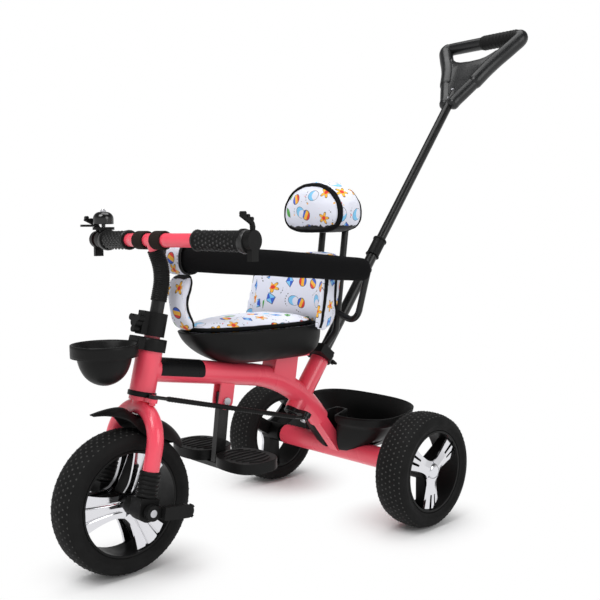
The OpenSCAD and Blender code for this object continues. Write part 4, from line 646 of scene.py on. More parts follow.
def handle_trim():
    sleeve = bmesh.new()
    line = smooth_path([on_handle(y, z) for y, z in ((0.004, 0.215), (0.045, 0.2149), (0.086, 0.2145))], 24)
    radii = [0.0166 + 0.0004 * math.cos(i * 1.3) for i in range(len(line))]
    sweep(sleeve, line, radii, handle_face, segments=28)
    bmesh.ops.recalc_face_normals(sleeve, faces=sleeve.faces)
    piece = place_mesh("push_handle_sleeve", sleeve, grip_rubber)
    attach(piece, "push_handle")
    screws = bmesh.new()
    tilt = handle_face.to_track_quat("Z", "Y").to_matrix().to_4x4()
    for rise in (0.024, 0.052):
        spot = Matrix.Translation(on_handle(-0.004, rise, 0.0098)) @ tilt
        bmesh.ops.create_cone(screws, cap_ends=True, segments=20, radius1=0.0036, radius2=0.0030,
                              depth=0.0024, matrix=spot)
        for turn in (0, 90):
            bmesh.ops.create_cube(screws, size=1, matrix=spot @ Matrix.Rotation(math.radians(turn), 4, "Z")
                                  @ Matrix.Translation((0, 0, 0.0013))
                                  @ Matrix.Diagonal((0.005, 0.0009, 0.0007, 1)))
    piece = place_mesh("push_handle_screws", screws, zinc)
    piece.data.set_sharp_from_angle(angle=math.radians(30))
    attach(piece, "push_handle")


push_handle()
handle_trim()
print("push handle done")

# %% [markdown]
# ## Small trim
# A bare black label is wrapped round the main tube. The grips get rows of rubber pips, the bell its nut,
# the footplates raised ribs for the soles, and the steering link a ribbed sleeve over its middle.

# %% Label and small trim
tube_head, tube_rear, tube_r = Vector((0.3946, 0, 0.3192)), Vector((0.1766, 0, 0.2831)), 0.020


def label():
    along = (tube_rear - tube_head).normalized()
    side = Vector((0, 1, 0))
    high = along.cross(side).normalized()
    high = high if high.z > 0 else -high
    bm = bmesh.new()
    bmesh.ops.create_grid(bm, x_segments=28, y_segments=20, size=1)
    for v in bm.verts:
        a, b = v.co.x, v.co.y
        corner = max(0.0, a - 0.86) / 0.14
        turn = math.radians(46 + 66 * b * (1 - 0.13 * corner ** 3))
        far = 0.017 + 0.087 * (a + 1) / 2
        v.co = (tube_head + along * far + high * math.cos(turn) * (tube_r + 0.0006)
                + side * math.sin(turn) * (tube_r + 0.0006))
    bmesh.ops.recalc_face_normals(bm, faces=bm.faces)
    if sum(f.normal.y for f in bm.faces) < 0:
        bmesh.ops.reverse_faces(bm, faces=bm.faces)
    bmesh.ops.solidify(bm, geom=bm.faces[:], thickness=0.0005)
    piece = place_mesh("main_tube_label", bm, bare_label)
    piece.data.set_sharp_from_angle(angle=math.radians(40))
    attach(piece, "frame")


def grip_pips(node, inner, outer):
    bm = bmesh.new()
    along = (outer - inner).normalized()
    side = along.cross(Vector((0, 0, 1))).normalized()
    high = side.cross(along)
    length = (outer - inner).length
    for row in range(11):
        for k in range(14):
            turn = math.tau * (k + 0.5 * (row % 2)) / 14
            out = side * math.cos(turn) + high * math.sin(turn)
            spot = inner + along * (0.012 + (length - 0.026) * row / 10) + out * 0.0153
            facing = out.to_track_quat("Z", "Y").to_matrix().to_4x4()
            bmesh.ops.create_cone(bm, cap_ends=True, segments=6, radius1=0.0021, radius2=0.0012, depth=0.0014,
                                  matrix=Matrix.Translation(spot) @ facing)
    for at in (0.002, length * 0.94):
        loop = [inner + along * (at + d) for d in (0, 0.0012, 0.0024)]
        sweep(bm, loop, [0.0158, 0.0168, 0.0158], high, segments=24, domed=(False, False))
    sweep(bm, [outer + along * d for d in (-0.004, -0.002, 0.004, 0.006)], [0.0172, 0.0178, 0.0178, 0.0172],
          high, segments=28, domed=(False, False))
    # Pips and flange rings take the paler rubber, whose colour is a painted highlight.
    piece = place_mesh(node + "_pips", bm, pip_highlight_rubber)
    piece.data.set_sharp_from_angle(angle=math.radians(40))
    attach(piece, "handlebar")


def bell_nut():
    low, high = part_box("bell_dome")
    top = Vector(((low.x + high.x) / 2, (low.y + high.y) / 2, high.z))
    bm = bmesh.new()
    bmesh.ops.create_cone(bm, cap_ends=True, segments=6, radius1=0.0052, radius2=0.0052, depth=0.003,
                          matrix=Matrix.Translation(top + Vector((0, 0, 0.0012))))
    bmesh.ops.create_cone(bm, cap_ends=True, segments=20, radius1=0.0036, radius2=0.0018, depth=0.003,
                          matrix=Matrix.Translation(top + Vector((0, 0, 0.004))))
    piece = place_mesh("bell_nut", bm, zinc)
    piece.data.set_sharp_from_angle(angle=math.radians(30))
    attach(piece, "handlebar")


def sole_ribs(node):
    low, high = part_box(node)
    middle, half = (low + high) / 2, (high - low) / 2
    bm = bmesh.new()
    for k in range(-3, 4):
        y = middle.y + half.y * 0.22 * k
        reach = half.x * 0.74 * math.sqrt(max(0.1, 1 - (0.22 * k) ** 2 * 1.3))
        line = [Vector((middle.x + reach * (i / 8 - 1),
                        y + half.y * 0.05 * math.sin(i / 16 * math.pi) * k, high.z)) for i in range(17)]
        sweep(bm, line, [0.0016] * 17, Vector((0, 0, 1)), segments=10, flat=0.9)
    bmesh.ops.recalc_face_normals(bm, faces=bm.faces)
    piece = place_mesh(node + "_ribs", bm, satin_plastic)
    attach(piece, "footrest")


def link_sleeve():
    rear, front = Vector((0.0700, 0.0359, 0.1905)), Vector((0.4114, 0.0329, 0.2818))
    count = 150
    line = [rear.lerp(front, 0.10 + 0.80 * i / (count - 1)) for i in range(count)]
    radii = [0.0040 + 0.0005 * (i % 3 == 0) for i in range(count)]
    bm = bmesh.new()
    sweep(bm, line, radii, Vector((0, 1, 0)), segments=14)
    bmesh.ops.recalc_face_normals(bm, faces=bm.faces)
    piece = place_mesh("link_rod_sleeve", bm, grip_rubber)
    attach(piece, "link_rod")


label()
grip_pips("left_grip", Vector((0.36912, 0.10393, 0.52499)), Vector((0.35305, 0.20112, 0.52338)))
grip_pips("right_grip", Vector((0.37473, -0.07040, 0.52499)), Vector((0.35866, -0.16759, 0.52338)))
bell_nut()
for node in ("left_footplate", "right_footplate"):
    sole_ribs(node)
link_sleeve()
print("trim done")

# %% [markdown]
# ## Cloth
# A print made of shader nodes needs dozens of them, and wiring each one by hand is long. A small helper
# class adds a node and returns its result, so that the print can be written as sums.

# %% Cloth helpers
WHITE = srgb(226, 228, 240)
INK = srgb(38, 40, 52)
RED, BLUE, YELLOW = srgb(226, 60, 52), srgb(58, 98, 205), srgb(247, 186, 62)
GREEN, SKY = srgb(92, 190, 78), srgb(130, 200, 240)


class Wiring:
    """Short names for wiring shader nodes: each call adds a node and returns its result."""

    def __init__(self, mat):
        self.tree = mat.node_tree
        self.shader = self.tree.nodes["Principled BSDF"]

    def put(self, socket, value):
        if isinstance(value, bpy.types.NodeSocket):
            self.tree.links.new(value, socket)
        else:
            socket.default_value = value

    def math(self, operation, a, b=0.0):
        node = self.tree.nodes.new("ShaderNodeMath")
        node.operation = operation
        self.put(node.inputs[0], a)
        self.put(node.inputs[1], b)
        return node.outputs[0]

    def less(self, a, b):
        return self.math("LESS_THAN", a, b)

    def both(self, a, b):
        return self.math("MULTIPLY", a, b)

    def over(self, mask, colour, under):
        node = self.tree.nodes.new("ShaderNodeMix")
        node.data_type = "RGBA"
        self.put(node.inputs["Factor"], mask)
        self.put(node.inputs[6], under)
        self.put(node.inputs[7], colour)
        return node.outputs[2]

    def cells(self, vector, size, jitter):
        node = self.tree.nodes.new("ShaderNodeTexVoronoi")
        node.voronoi_dimensions = "2D"
        node.inputs["Scale"].default_value = 1 / size
        node.inputs["Randomness"].default_value = jitter
        self.tree.links.new(vector, node.inputs["Vector"])
        split = self.tree.nodes.new("ShaderNodeSeparateColor")
        self.tree.links.new(node.outputs["Color"], split.inputs[0])
        return node, split.outputs

    def noise(self, vector, size, detail=2):
        node = self.tree.nodes.new("ShaderNodeTexNoise")
        node.inputs["Scale"].default_value = 1 / size
        node.inputs["Detail"].default_value = detail
        self.tree.links.new(vector, node.inputs["Vector"])
        return node.outputs["Fac"]

    def bump(self, height, depth):
        node = self.tree.nodes.new("ShaderNodeBump")
        node.inputs["Distance"].default_value = depth
        self.put(node.inputs["Height"], height)
        self.put(self.shader.inputs["Normal"], node.outputs["Normal"])


print("cloth colours ready")

# %% [markdown]
# ## Printed cloth
# The printed cloth is white with small toys and shapes in clear colours. It could be a painted picture,
# but nodes stay sharp at any distance and need no file. A Voronoi pattern scatters one spot per cell over
# the cloth's own UV map, in metres. Each spot gets a turn and a motif by its cell's random colour: a ball,
# a kite, a flower, a leaf or a balloon. A finer pattern adds small dots. Sewn bands and gathers are black:
# a point attribute called hem says where they are.

# %% Printed cloth
motif_cell, dot_cell = 0.033, 0.019
motif_reach = 0.0125


def printed_cloth(name):
    mat = surface(name, WHITE, 0.8, shine=0.2)
    mat.node_tree.nodes["Principled BSDF"].inputs["Sheen Weight"].default_value = 0.15
    w = Wiring(mat)
    place = w.tree.nodes.new("ShaderNodeTexCoord")
    uv, spot = place.outputs["UV"], place.outputs["Object"]
    cell, pick = w.cells(uv, motif_cell, 0.55)
    offset = w.tree.nodes.new("ShaderNodeVectorMath")
    offset.operation = "SUBTRACT"
    link_nodes(w.tree, (uv, offset.inputs[0]), (cell.outputs["Position"], offset.inputs[1]))
    turn = w.tree.nodes.new("ShaderNodeVectorRotate")
    turn.rotation_type = "Z_AXIS"
    link_nodes(w.tree, (offset.outputs[0], turn.inputs["Vector"]))
    w.put(turn.inputs["Angle"], w.math("MULTIPLY", pick[1], math.tau))
    axes = w.tree.nodes.new("ShaderNodeSeparateXYZ")
    link_nodes(w.tree, (turn.outputs[0], axes.inputs[0]))
    x = w.math("DIVIDE", axes.outputs[0], motif_reach)
    y = w.math("DIVIDE", axes.outputs[1], motif_reach)
    radius = w.math("SQRT", w.math("ADD", w.both(x, x), w.both(y, y)))
    angle = w.math("ARCTAN2", y, x)
    wide, tall = w.math("ABSOLUTE", x), w.math("ABSOLUTE", y)

    def kind(low, high):
        return w.both(w.less(pick[0], high), w.math("GREATER_THAN", pick[0], low))

    def drawn(under, shown, edge, fill):
        """Lay one motif: an ink line where edge is just under 1, and its fill inside that."""
        inked = w.over(w.both(shown, w.less(edge, 1.0)), INK, under)
        return w.over(w.both(shown, w.less(edge, 0.88)), fill, inked)

    petals = w.math("ADD", 0.68, w.math("MULTIPLY", w.math("COSINE", w.math("MULTIPLY", angle, 5)), 0.26))
    lens = w.math("ADD", w.math("MULTIPLY", w.both(x, x), 1.0), w.math("MULTIPLY", tall, 2.3))
    bulb = w.math("ADD", w.both(x, x), w.math("MULTIPLY", w.both(y, y), 1.7))
    striped = w.over(w.less(tall, 0.28), YELLOW, w.over(w.less(y, 0), BLUE, RED))
    quartered = w.over(w.less(w.both(x, y), 0), SKY, BLUE)
    ribbed = w.over(w.less(tall, 0.07), INK, GREEN)
    centred = w.over(w.less(radius, 0.3), RED, YELLOW)
    glinting = w.over(w.less(w.math("ADD", radius, x), 0.5), WHITE, SKY)
    colour = drawn(WHITE, kind(-0.1, 0.2), w.math("DIVIDE", radius, 0.8), striped)
    colour = drawn(colour, kind(0.2, 0.4), w.math("ADD", wide, w.math("MULTIPLY", tall, 1.45)), quartered)
    colour = drawn(colour, kind(0.4, 0.6), w.math("DIVIDE", radius, petals), centred)
    colour = drawn(colour, kind(0.6, 0.78), lens, ribbed)
    colour = drawn(colour, kind(0.78, 1.1), bulb, glinting)
    small, small_pick = w.cells(uv, dot_cell, 1.0)
    tint = w.over(w.less(small_pick[0], 0.35), YELLOW, w.over(w.less(small_pick[0], 0.65), SKY, RED))
    clear = w.math("GREATER_THAN", radius, 1.25)
    dot = w.less(small.outputs["Distance"], w.math("MULTIPLY", w.math("SUBTRACT", small_pick[1], 0.35), 0.16))
    colour = w.over(w.both(dot, clear), tint, colour)
    trail = w.both(w.less(w.math("ABSOLUTE", w.math("SUBTRACT", radius, 1.45)), 0.06),
                   w.math("GREATER_THAN", w.math("SINE", w.math("MULTIPLY", angle, 22)), 0.1))
    arc = w.both(w.less(angle, 0.9), w.math("GREATER_THAN", angle, -0.7))
    colour = w.over(w.both(trail, arc), INK, colour)
    hem = w.tree.nodes.new("ShaderNodeAttribute")
    hem.attribute_name = "hem"
    fray = w.math("MULTIPLY", w.math("SUBTRACT", w.noise(spot, 0.009), 0.5), 0.5)
    banded = w.math("GREATER_THAN", w.math("ADD", hem.outputs["Fac"], fray), 0.5)
    w.put(w.shader.inputs["Base Color"], w.over(banded, srgb(24, 24, 24), colour))
    folds = w.math("MULTIPLY", w.noise(spot, 0.03, 3), 1.0)
    weave = w.math("MULTIPLY", w.noise(spot, 0.0009), 0.12)
    w.bump(w.math("ADD", folds, weave), 0.0016)
    return mat


def dark_cloth(name, colour, fold, depth):
    mat = surface(name, colour, 0.92, shine=0.06)
    w = Wiring(mat)
    place = w.tree.nodes.new("ShaderNodeTexCoord")
    spot = place.outputs["Object"]
    w.put(w.shader.inputs["Roughness"], w.math("ADD", 0.82, w.math("MULTIPLY", w.noise(spot, 0.05), 0.16)))
    w.bump(w.math("ADD", w.noise(spot, fold, 3), w.math("MULTIPLY", w.noise(spot, 0.0008), 0.1)), depth)
    return mat


print_cloth = printed_cloth("print_cloth")
band_cloth = dark_cloth("band_cloth", srgb(24, 24, 25), 0.006, 0.0008)
guard_cloth = dark_cloth("guard_cloth", srgb(19, 19, 20), 0.035, 0.0012)
print("cloth made")

# %% [markdown]
# ## Stuffing a cushion
# A cushion is a cloth bag blown up by its filling and held in at its seams. The bag starts a little
# small, is remeshed to even faces, and a short cloth simulation with inner pressure swells it between
# the pinned seams. How far any point may move is capped, so the cushion stays in its place.


# %% Stuffing and bindings
def bulged(v, square):
    return math.copysign(abs(v) ** (2 / square), v)


def apply_all(piece):
    """Turn the piece's live modifiers into plain mesh."""
    depsgraph = bpy.context.evaluated_depsgraph_get()
    mesh = bpy.data.meshes.new_from_object(piece.evaluated_get(depsgraph), depsgraph=depsgraph)
    mats = list(piece.data.materials)
    piece.modifiers.clear()
    piece.data = mesh
    if not mesh.materials:
        for mat in mats:
            mesh.materials.append(mat)
    mesh.shade_smooth()


def even_faces(piece, voxel):
    remesh = piece.modifiers.new("even", "REMESH")
    remesh.mode = "VOXEL"
    remesh.voxel_size = voxel
    apply_all(piece)


def stuff(piece, held, puff=4.0, cap=0.006):
    """Swell the closed cover; held(point) says which points are sewn down."""
    rest = [v.co.copy() for v in piece.data.vertices]
    pins = piece.vertex_groups.new(name="seams")
    pins.add([i for i, p in enumerate(rest) if held(p)], 1.0, "REPLACE")
    cloth = piece.modifiers.new("stuffing", "CLOTH")
    cloth.settings.quality = 5
    cloth.settings.mass = 0.25
    cloth.settings.tension_stiffness = cloth.settings.compression_stiffness = 20
    cloth.settings.shear_stiffness = 8
    cloth.settings.bending_stiffness = 0.6
    cloth.settings.use_pressure = True
    cloth.settings.uniform_pressure_force = puff
    cloth.settings.effector_weights.gravity = 0
    cloth.settings.vertex_group_mass = "seams"
    cloth.point_cache.frame_start, cloth.point_cache.frame_end = 1, 20
    for number in range(1, 21):
        scene.frame_set(number)
    apply_all(piece)
    scene.frame_set(1)
    moved = 0.0
    for vertex, start in zip(piece.data.vertices, rest):
        step = vertex.co - start
        moved = max(moved, step.length)
        if step.length > cap:
            vertex.co = start + step * (cap / step.length)
    piece.vertex_groups.clear()
    print(piece.name, "swelled up to", round(moved * 1000, 1), "mm, capped at", cap * 1000)


def rounded(piece):
    subdivide = piece.modifiers.new("round", "SUBSURF")
    subdivide.levels = subdivide.render_levels = 1
    apply_all(piece)


def seam_line(piece, warp, unwarp, spacing=0.004):
    """The closed line on a cover where warp's first value is zero, evenly spaced and eased."""
    bm = bmesh.new()
    bm.from_mesh(piece.data)
    for v in bm.verts:
        v.co = warp(v.co)
    cut = bmesh.ops.bisect_plane(bm, geom=bm.verts[:] + bm.edges[:] + bm.faces[:], dist=1e-7,
                                 plane_co=(0, 0, 0), plane_no=(1, 0, 0))["geom_cut"]
    edges = dict.fromkeys(e for e in cut if isinstance(e, bmesh.types.BMEdge))
    best = []
    while edges:
        first = next(iter(edges))
        del edges[first]
        chain = [first.verts[0], first.verts[1]]
        grew = True
        while grew:
            step = next((e for e in chain[-1].link_edges if e in edges), None)
            grew = step is not None
            if grew:
                del edges[step]
                chain.append(step.other_vert(chain[-1]))
        if len(chain) > len(best):
            best = chain
    points = [unwarp(v.co) for v in best]
    bm.free()
    total = sum((a - b).length for a, b in zip(points, points[1:] + points[:1]))
    count = max(12, int(total / spacing))
    spaced, walked, i = [], 0.0, 0
    ring = points + points[:1]
    lengths = [(b - a).length for a, b in zip(ring, ring[1:])]
    for k in range(count):
        target = total * k / count
        while i < len(lengths) - 1 and walked + lengths[i] < target:
            walked += lengths[i]
            i += 1
        spaced.append(ring[i].lerp(ring[i + 1], (target - walked) / max(lengths[i], 1e-9)))
    for _ in range(4):
        spaced = [(spaced[k - 1] + spaced[k] * 2 + spaced[(k + 1) % count]) / 4 for k in range(count)]
    return spaced


def binding(name, cover, path, half_wide, half_thick, closed=True, wobble=0.2):
    """A sewn edge strip: flat oval rings along a path on the cover, bridged one to the next."""
    source = bmesh.new()
    source.from_mesh(cover.data)
    tree = BVHTree.FromBMesh(source)
    source.free()
    bm = bmesh.new()
    count = len(path)
    rings = []
    for i, point in enumerate(path):
        ahead = path[(i + 1) % count] if closed else path[min(i + 1, count - 1)]
        behind = path[i - 1] if closed or i else path[0]
        along = (ahead - behind).normalized()
        spot, normal, _, _ = tree.find_nearest(point)
        across = along.cross(normal).normalized()
        normal = across.cross(along)
        wide = half_wide * (1 + wobble * noise.noise(point * 70))
        origin = spot + normal * half_thick * (0.35 + 0.3 * noise.noise(point * 110))
        spread = Matrix((across * wide, normal * half_thick, along)).transposed().to_4x4()
        made = bmesh.ops.create_circle(bm, segments=10, radius=1, matrix=Matrix.Translation(origin) @ spread)
        rings.append(list({e for v in made["verts"] for e in v.link_edges}))
    for i in range(count if closed else count - 1):
        bmesh.ops.bridge_loops(bm, edges=rings[i] + rings[(i + 1) % count])
    if not closed:
        bmesh.ops.holes_fill(bm, edges=[e for e in bm.edges if e.is_boundary], sides=0)
    bmesh.ops.recalc_face_normals(bm, faces=bm.faces)
    piece = place_mesh(name, bm, band_cloth)
    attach(piece, "frame")
    return piece


def lay_print(piece, where, hem=None):
    """Give every face corner its place on the flat cloth, and every point its share of hem."""
    mesh = piece.data
    while mesh.uv_layers:
        mesh.uv_layers.remove(mesh.uv_layers[0])
    layer = mesh.uv_layers.new(name="cloth")
    for face in mesh.polygons:
        for corner in face.loop_indices:
            layer.data[corner].uv = where(mesh.vertices[mesh.loops[corner].vertex_index].co, face)
    share = mesh.attributes.new("hem", "FLOAT", "POINT")
    for vertex in mesh.vertices:
        share.data[vertex.index].value = hem(vertex.co) if hem else 0.0


print("stuffing tools ready")

# %% [markdown]
# ## Headrest
# A small round-topped pillow slipped over the two posts. It has a front panel, a broad wrap and a rear
# panel, sewn together with black binding, and it is gathered into black tape along its bottom.


# %% Headrest
def headrest():
    low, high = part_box("headrest")
    middle, half = (low + high) / 2, (high - low) / 2
    slack = 0.004
    bm = bmesh.new()
    bmesh.ops.create_uvsphere(bm, u_segments=72, v_segments=36, radius=1)
    for v in bm.verts:
        d = v.co.normalized()
        crown = min(1.0, max(0.0, d.z + 0.25) / 0.5)
        crown = crown * crown * (3 - 2 * crown)
        v.co = middle + Vector(((half.x - slack) * bulged(d.x, 3.2 - 0.6 * crown),
                                (half.y - slack) * bulged(d.y, 3.4 - 1.4 * crown),
                                (half.z - slack) * bulged(d.z, 3.4 - 1.4 * crown)))
    piece = place_mesh("headrest_pillow", bm, print_cloth)
    even_faces(piece, 0.005)
    front, rear = middle.x + half.x * 0.57, middle.x - half.x * 0.62

    def sewn(p):
        return min(abs(p.x - front), abs(p.x - rear)) < 0.004 or p.z < low.z + 0.010

    stuff(piece, sewn, puff=5, cap=0.007)
    rounded(piece)

    def where(p, face):
        if face.center.x > front or face.center.x < rear:
            return (p.y, p.z)
        round_it = math.atan2(face.center.y - middle.y, face.center.z - middle.z + half.z * 0.2)
        own = math.atan2(p.y - middle.y, p.z - middle.z + half.z * 0.2)
        if own - round_it > math.pi:
            own -= math.tau
        elif round_it - own > math.pi:
            own += math.tau
        return (own * 0.068 + 0.4, p.x)

    lay_print(piece, where, lambda p: max(0.0, 1.15 - (p.z - low.z) / 0.026))
    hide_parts("headrest")
    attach(piece, "frame")
    for tag, plane, wide in (("front", front, 0.0048), ("rear", rear, 0.0062)):
        line = seam_line(piece, lambda p: Vector((p.x - plane, p.y, p.z)),
                         lambda q: Vector((q.x + plane, q.y, q.z)))
        binding("headrest_binding_" + tag, piece, line, wide, 0.0022)


headrest()
print("headrest done")

# %% [markdown]
# ## Back cushion
# The back cushion leans on the posts and wraps forward at both sides. A printed wall goes round it.
# Black binding runs down that wall's front on each outer side, and a second binding closes the rear.

# %% Back cushion
seat_rim_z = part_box("seat_pan")[1].z


def back_cushion():
    low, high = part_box("back_cushion")
    half_w, height = (high.y - low.y) / 2, high.z - low.z
    centre = (low + high) / 2
    bm = solid_of("back_cushion")
    middle_x = {}
    for v in bm.verts:
        key = round(v.co.y, 4)
        span = middle_x.setdefault(key, [v.co.copy(), v.co.copy()])
        span[0] = v.co.copy() if v.co.x < span[0].x else span[0]
        span[1] = v.co.copy() if v.co.x > span[1].x else span[1]
    for v in bm.verts:
        v.co -= v.normal * 0.003
        wing = max(0.0, abs(v.co.y) / half_w - 0.55) / 0.45
        v.co.x += 0.016 * wing * wing
        v.co.z -= (0.013 + 0.005 * wing) * max(0.0, 1 - (v.co.z - low.z) / height)
    for span in middle_x.values():
        wing = max(0.0, abs(span[0].y) / half_w - 0.55) / 0.45
        span[0].x += 0.016 * wing * wing
        span[1].x += 0.016 * wing * wing
    stations = sorted((y, (a.x + b.x) / 2, (b.x - a.x) / 2, (a.z + b.z) / 2)
                      for y, (a, b) in middle_x.items())
    stations = [s for s in stations if abs(s[0]) < half_w * 0.99]
    lean = math.tan(math.radians(8))

    def across(p):
        """The middle of the cushion's thickness beside a point, and half that thickness, in metres."""
        y = min(max(p.y, stations[0][0]), stations[-1][0])
        i = max(k for k in range(len(stations) - 1) if stations[k][0] <= y + 1e-6)
        a, b = stations[i], stations[i + 1]
        t = (y - a[0]) / (b[0] - a[0])
        x, thick, z = (a[k] + (b[k] - a[k]) * t for k in (1, 2, 3))
        return x - (p.z - z) * lean, thick

    piece = place_mesh("back_cushion_pillow", bm, print_cloth)
    even_faces(piece, 0.005)

    def depth(p):
        x, thick = across(p)
        return (p.x - x) / thick

    front, rear = 0.64, -0.62

    def sewn(p):
        return min(abs(depth(p) - front), abs(depth(p) - rear)) < 0.1

    stuff(piece, sewn, puff=4, cap=0.006)
    rounded(piece)

    def where(p, face):
        d = depth(face.center)
        if d > front or d < rear:
            wing = max(0.0, abs(p.y) - half_w * 0.72)
            return (p.y + math.copysign(p.x * min(1, wing * 60), p.y) + 0.8, p.z)
        if abs(face.center.y) > half_w * 0.72:
            return (p.x + 1.3, p.z)
        return (p.y + 1.7, p.x)

    lay_print(piece, where)
    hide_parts("back_cushion")
    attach(piece, "frame")

    def outer_runs(line):
        """The longest stretch of a closed seam on the cushion's left side, and its mirror image."""
        shape = bmesh.new()
        shape.from_mesh(piece.data)
        tree = BVHTree.FromBMesh(shape)
        shape.free()
        reach = max(p.y for p in line)
        start = next(i for i, p in enumerate(line) if abs(p.y) < reach * 0.5)
        runs = [[]]
        for p in line[start:] + line[:start]:
            outward = tree.find_nearest(p)[1].y
            if p.y > reach * 0.88 and outward > 0.15:
                runs[-1].append(p)
            elif runs[-1]:
                runs.append([])
        left = max(runs, key=len)
        return ("left", left), ("right", [Vector((p.x, -p.y, p.z)) for p in left])

    for tag, level in (("front", front), ("rear", rear)):
        def flat(p):
            return Vector((depth(p) - level, p.y, p.z))

        def back(q):
            guess = Vector((0, q.y, q.z))
            x, thick = across(guess)
            return Vector((x + (q.x + level) * thick, q.y, q.z))

        line = seam_line(piece, flat, back)
        if tag == "rear":
            binding("back_binding_rear", piece, line, 0.0042, 0.002)
            continue
        for side, run in outer_runs(line):
            binding("back_binding_front_" + side, piece, run, 0.0042, 0.002, closed=False)


back_cushion()
print("back cushion done")

# %% [markdown]
# ## Seat cushion
# The seat cushion lies in the pan and shows only its crown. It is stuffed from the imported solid, and a
# thick black piping runs round it where it meets the pan.


# %% Seat cushion
def seat_cushion():
    low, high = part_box("seat_cushion")
    bm = solid_of("seat_cushion")
    for v in bm.verts:
        v.co -= v.normal * 0.0025
    piece = place_mesh("seat_cushion_pillow", bm, print_cloth)
    even_faces(piece, 0.005)
    stuff(piece, lambda p: p.z < seat_rim_z + 0.002, puff=3, cap=0.005)
    rounded(piece)
    lay_print(piece, lambda p, face: (p.x + 2.3, p.y), lambda p: 0.0)
    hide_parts("seat_cushion")
    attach(piece, "frame")
    level = seat_rim_z + 0.0035
    line = seam_line(piece, lambda p: Vector((p.z - level, p.x, p.y)),
                     lambda q: Vector((q.y, q.z, q.x + level)))
    binding("seat_piping", piece, line, 0.004, 0.003, wobble=0.1)


seat_cushion()
print("seat cushion done")

# %% [markdown]
# ## Guard ring
# A tube bent into a U round the child, in a thick sleeve of foam under matt black cloth. The sleeve is
# a rounded oval swept along the tube: its rings are bridged, and slow waves make the cloth look pulled on.

# %% Guard ring
guard_corners = [Vector((-0.00936, 0.115, 0.466)), Vector((0.31964, 0.140, 0.494)),
                 Vector((0.31964, -0.140, 0.494)), Vector((-0.00936, -0.115, 0.466))]
guard_corner_r, guard_high, guard_thick = 0.130, 0.044, 0.034


def rounded_line(points, radius, pieces=14, straight=10):
    line = []
    for i in range(1, len(points) - 1):
        into, out = (points[i] - points[i - 1]).normalized(), (points[i + 1] - points[i]).normalized()
        turn = into.angle(out)
        take = radius * math.tan(turn / 2)
        start = points[i] - into * take
        inward = (out - into * into.dot(out)).normalized()
        centre = start + inward * radius
        last = line[-1] if line else points[0]
        line += [last.lerp(start, k / straight) for k in range(1 if line else 0, straight)]
        line += [centre + radius * (math.sin(turn * k / pieces) * into - math.cos(turn * k / pieces) * inward)
                 for k in range(pieces + 1)]
    return line + [line[-1].lerp(points[-1], k / straight) for k in range(1, straight + 1)]


def guard_ring():
    path = rounded_line(guard_corners, guard_corner_r)
    start = path[0].lerp(path[1], 0.5)
    path = [start] + path[1:-1] + [path[-1].lerp(path[-2], 0.5)]
    bm = bmesh.new()
    rings = []
    count = len(path)
    for i, point in enumerate(path):
        along = (path[min(i + 1, count - 1)] - path[max(i - 1, 0)]).normalized()
        out = along.cross(Vector((0, 0, 1))).normalized()
        high = out.cross(along)
        end = min(i, count - 1 - i)
        puff = (0.90, 0.985)[end] if end < 2 else 1.0
        made = bmesh.ops.create_circle(bm, segments=28, radius=1)
        for v in made["verts"]:
            across, tall = bulged(v.co.x, 2.5), bulged(v.co.y, 2.5)
            wave = 0.0012 * noise.noise(point * 26 + Vector((across, tall, 0)) * 0.8)
            v.co = (point + out * across * (guard_thick / 2 * puff - 0.0006 + wave)
                    + high * tall * (guard_high / 2 * puff - 0.0006 + wave))
        rings.append(list({e for v in made["verts"] for e in v.link_edges}))
    for a, b in zip(rings, rings[1:]):
        bmesh.ops.bridge_loops(bm, edges=a + b)
    ends = bmesh.ops.holes_fill(bm, edges=[e for e in bm.edges if e.is_boundary], sides=0)["faces"]
    bmesh.ops.inset_region(bm, faces=ends, thickness=0.006, depth=0.003)
    bmesh.ops.recalc_face_normals(bm, faces=bm.faces)
    piece = place_mesh("guard_sleeve", bm, guard_cloth)
    rounded(piece)
    piece.data.materials.clear()
    piece.data.materials.append(guard_cloth)
    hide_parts("guard_pad")
    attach(piece, "frame")


guard_ring()
print("guard ring done")

# %% [markdown]
# ## Crotch pad
# A stuffed tongue stands on the nose of the seat and hangs from a cloth loop round the front of the
# guard ring. Tongue and loop are printed cloth with black binding along their edges.


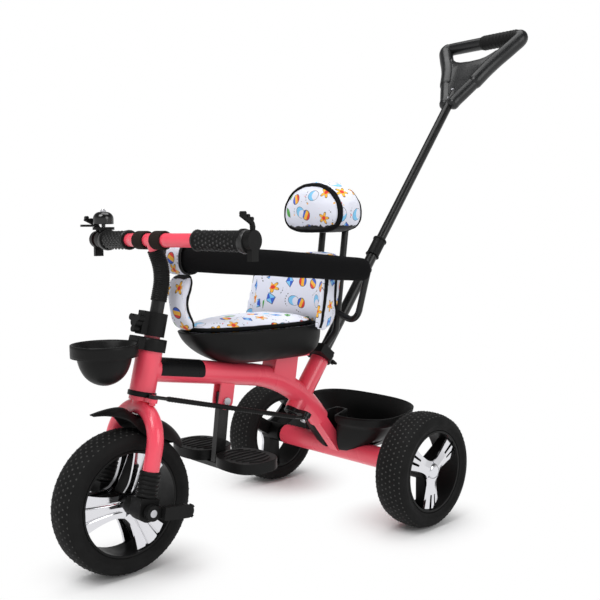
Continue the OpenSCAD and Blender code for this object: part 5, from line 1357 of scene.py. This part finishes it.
# %% Crotch pad
def crotch_pad():
    low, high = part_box("crotch_pad")
    ring = Vector((guard_corners[1].x, 0, guard_corners[1].z))
    top = ring.z - guard_high / 2 - 0.0036
    nose = 0.3160
    bm = bmesh.new()
    bmesh.ops.create_uvsphere(bm, u_segments=48, v_segments=32, radius=1)
    for v in bm.verts:
        d = v.co.normalized()
        t = (bulged(d.z, 3.6) + 1) / 2
        ease = t * t * (3 - 2 * t)
        x = nose + (ring.x - nose) * ease + 0.013 * math.sin(math.pi * t)
        flat = math.hypot(d.x, d.y) or 1
        fill = bulged(flat, 3.2)
        wide = 0.0300 * (1 - 0.34 * math.sin(math.pi * min(1, t * 1.15)) ** 2)
        v.co = Vector((x + 0.0098 * fill * bulged(d.x / flat, 2.4), wide * fill * bulged(d.y / flat, 2.6),
                       low.z + (top - low.z) * t))
    piece = place_mesh("crotch_tongue", bm, print_cloth)
    even_faces(piece, 0.004)

    def middle_of(p):
        t = min(max((p.z - low.z) / (top - low.z), 0), 1)
        return nose + (ring.x - nose) * t * t * (3 - 2 * t) + 0.013 * math.sin(math.pi * t)

    rear_edge = -0.004
    stuff(piece, lambda p: abs(p.x - middle_of(p) - rear_edge) < 0.002, puff=3, cap=0.004)
    rounded(piece)
    lay_print(piece, lambda p, face: (p.y + 3.1 + (p.x if abs(p.y) > 0.02 else 0), p.z),
              lambda p: max(0.0, 1.1 - (top - p.z) / 0.012))
    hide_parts("crotch_pad")
    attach(piece, "frame")
    line = seam_line(piece, lambda p: Vector((p.x - middle_of(p) - rear_edge, p.y, p.z)),
                     lambda q: Vector((q.x + middle_of(Vector((0, 0, q.z))) + rear_edge, q.y, q.z)))
    binding("crotch_binding", piece, line, 0.0034, 0.0018)
    return ring


loop_wide, loop_thick, loop_clear = 0.046, 0.003, 0.0018


def crotch_loop(ring):
    """The strap that goes once round the guard ring: an oval band with bound edges."""
    bm = bmesh.new()
    made = bmesh.ops.create_circle(bm, segments=56, radius=1)
    for v in made["verts"]:
        v.co = ring + Vector(((guard_thick / 2 + loop_clear) * bulged(v.co.x, 2.6), -loop_wide / 2,
                              (guard_high / 2 + loop_clear) * bulged(v.co.y, 2.6)))
    edges = list({e for v in made["verts"] for e in v.link_edges})
    for k in range(6):
        grown = bmesh.ops.extrude_edge_only(bm, edges=edges)["geom"]
        bmesh.ops.translate(bm, verts=[g for g in grown if isinstance(g, bmesh.types.BMVert)],
                            vec=(0, loop_wide / 6, 0))
        edges = [g for g in grown if isinstance(g, bmesh.types.BMEdge)
                 and all(abs(v.co.y - (-loop_wide / 2 + loop_wide * (k + 1) / 6)) < 1e-6 for v in g.verts)]
    bmesh.ops.recalc_face_normals(bm, faces=bm.faces)
    bmesh.ops.solidify(bm, geom=bm.faces[:], thickness=-loop_thick)
    bmesh.ops.recalc_face_normals(bm, faces=bm.faces)
    for v in bm.verts:
        v.co += (v.co - Vector((ring.x, v.co.y, ring.z))).normalized() * 0.0006 * noise.noise(v.co * 90)
    piece = place_mesh("crotch_loop_strap", bm, print_cloth)
    rounded(piece)

    def where(p, face):
        turn = math.atan2(p.z - ring.z, p.x - ring.x)
        if face.center.x < ring.x and turn < 0:
            turn += math.tau
        return (p.y + 3.9, turn * 0.022)

    lay_print(piece, where, lambda p: max(0.0, min(1.0, (abs(p.y) - loop_wide / 2 + 0.0065) / 0.003)))
    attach(piece, "frame")


crotch_loop(crotch_pad())
print("crotch pad done")
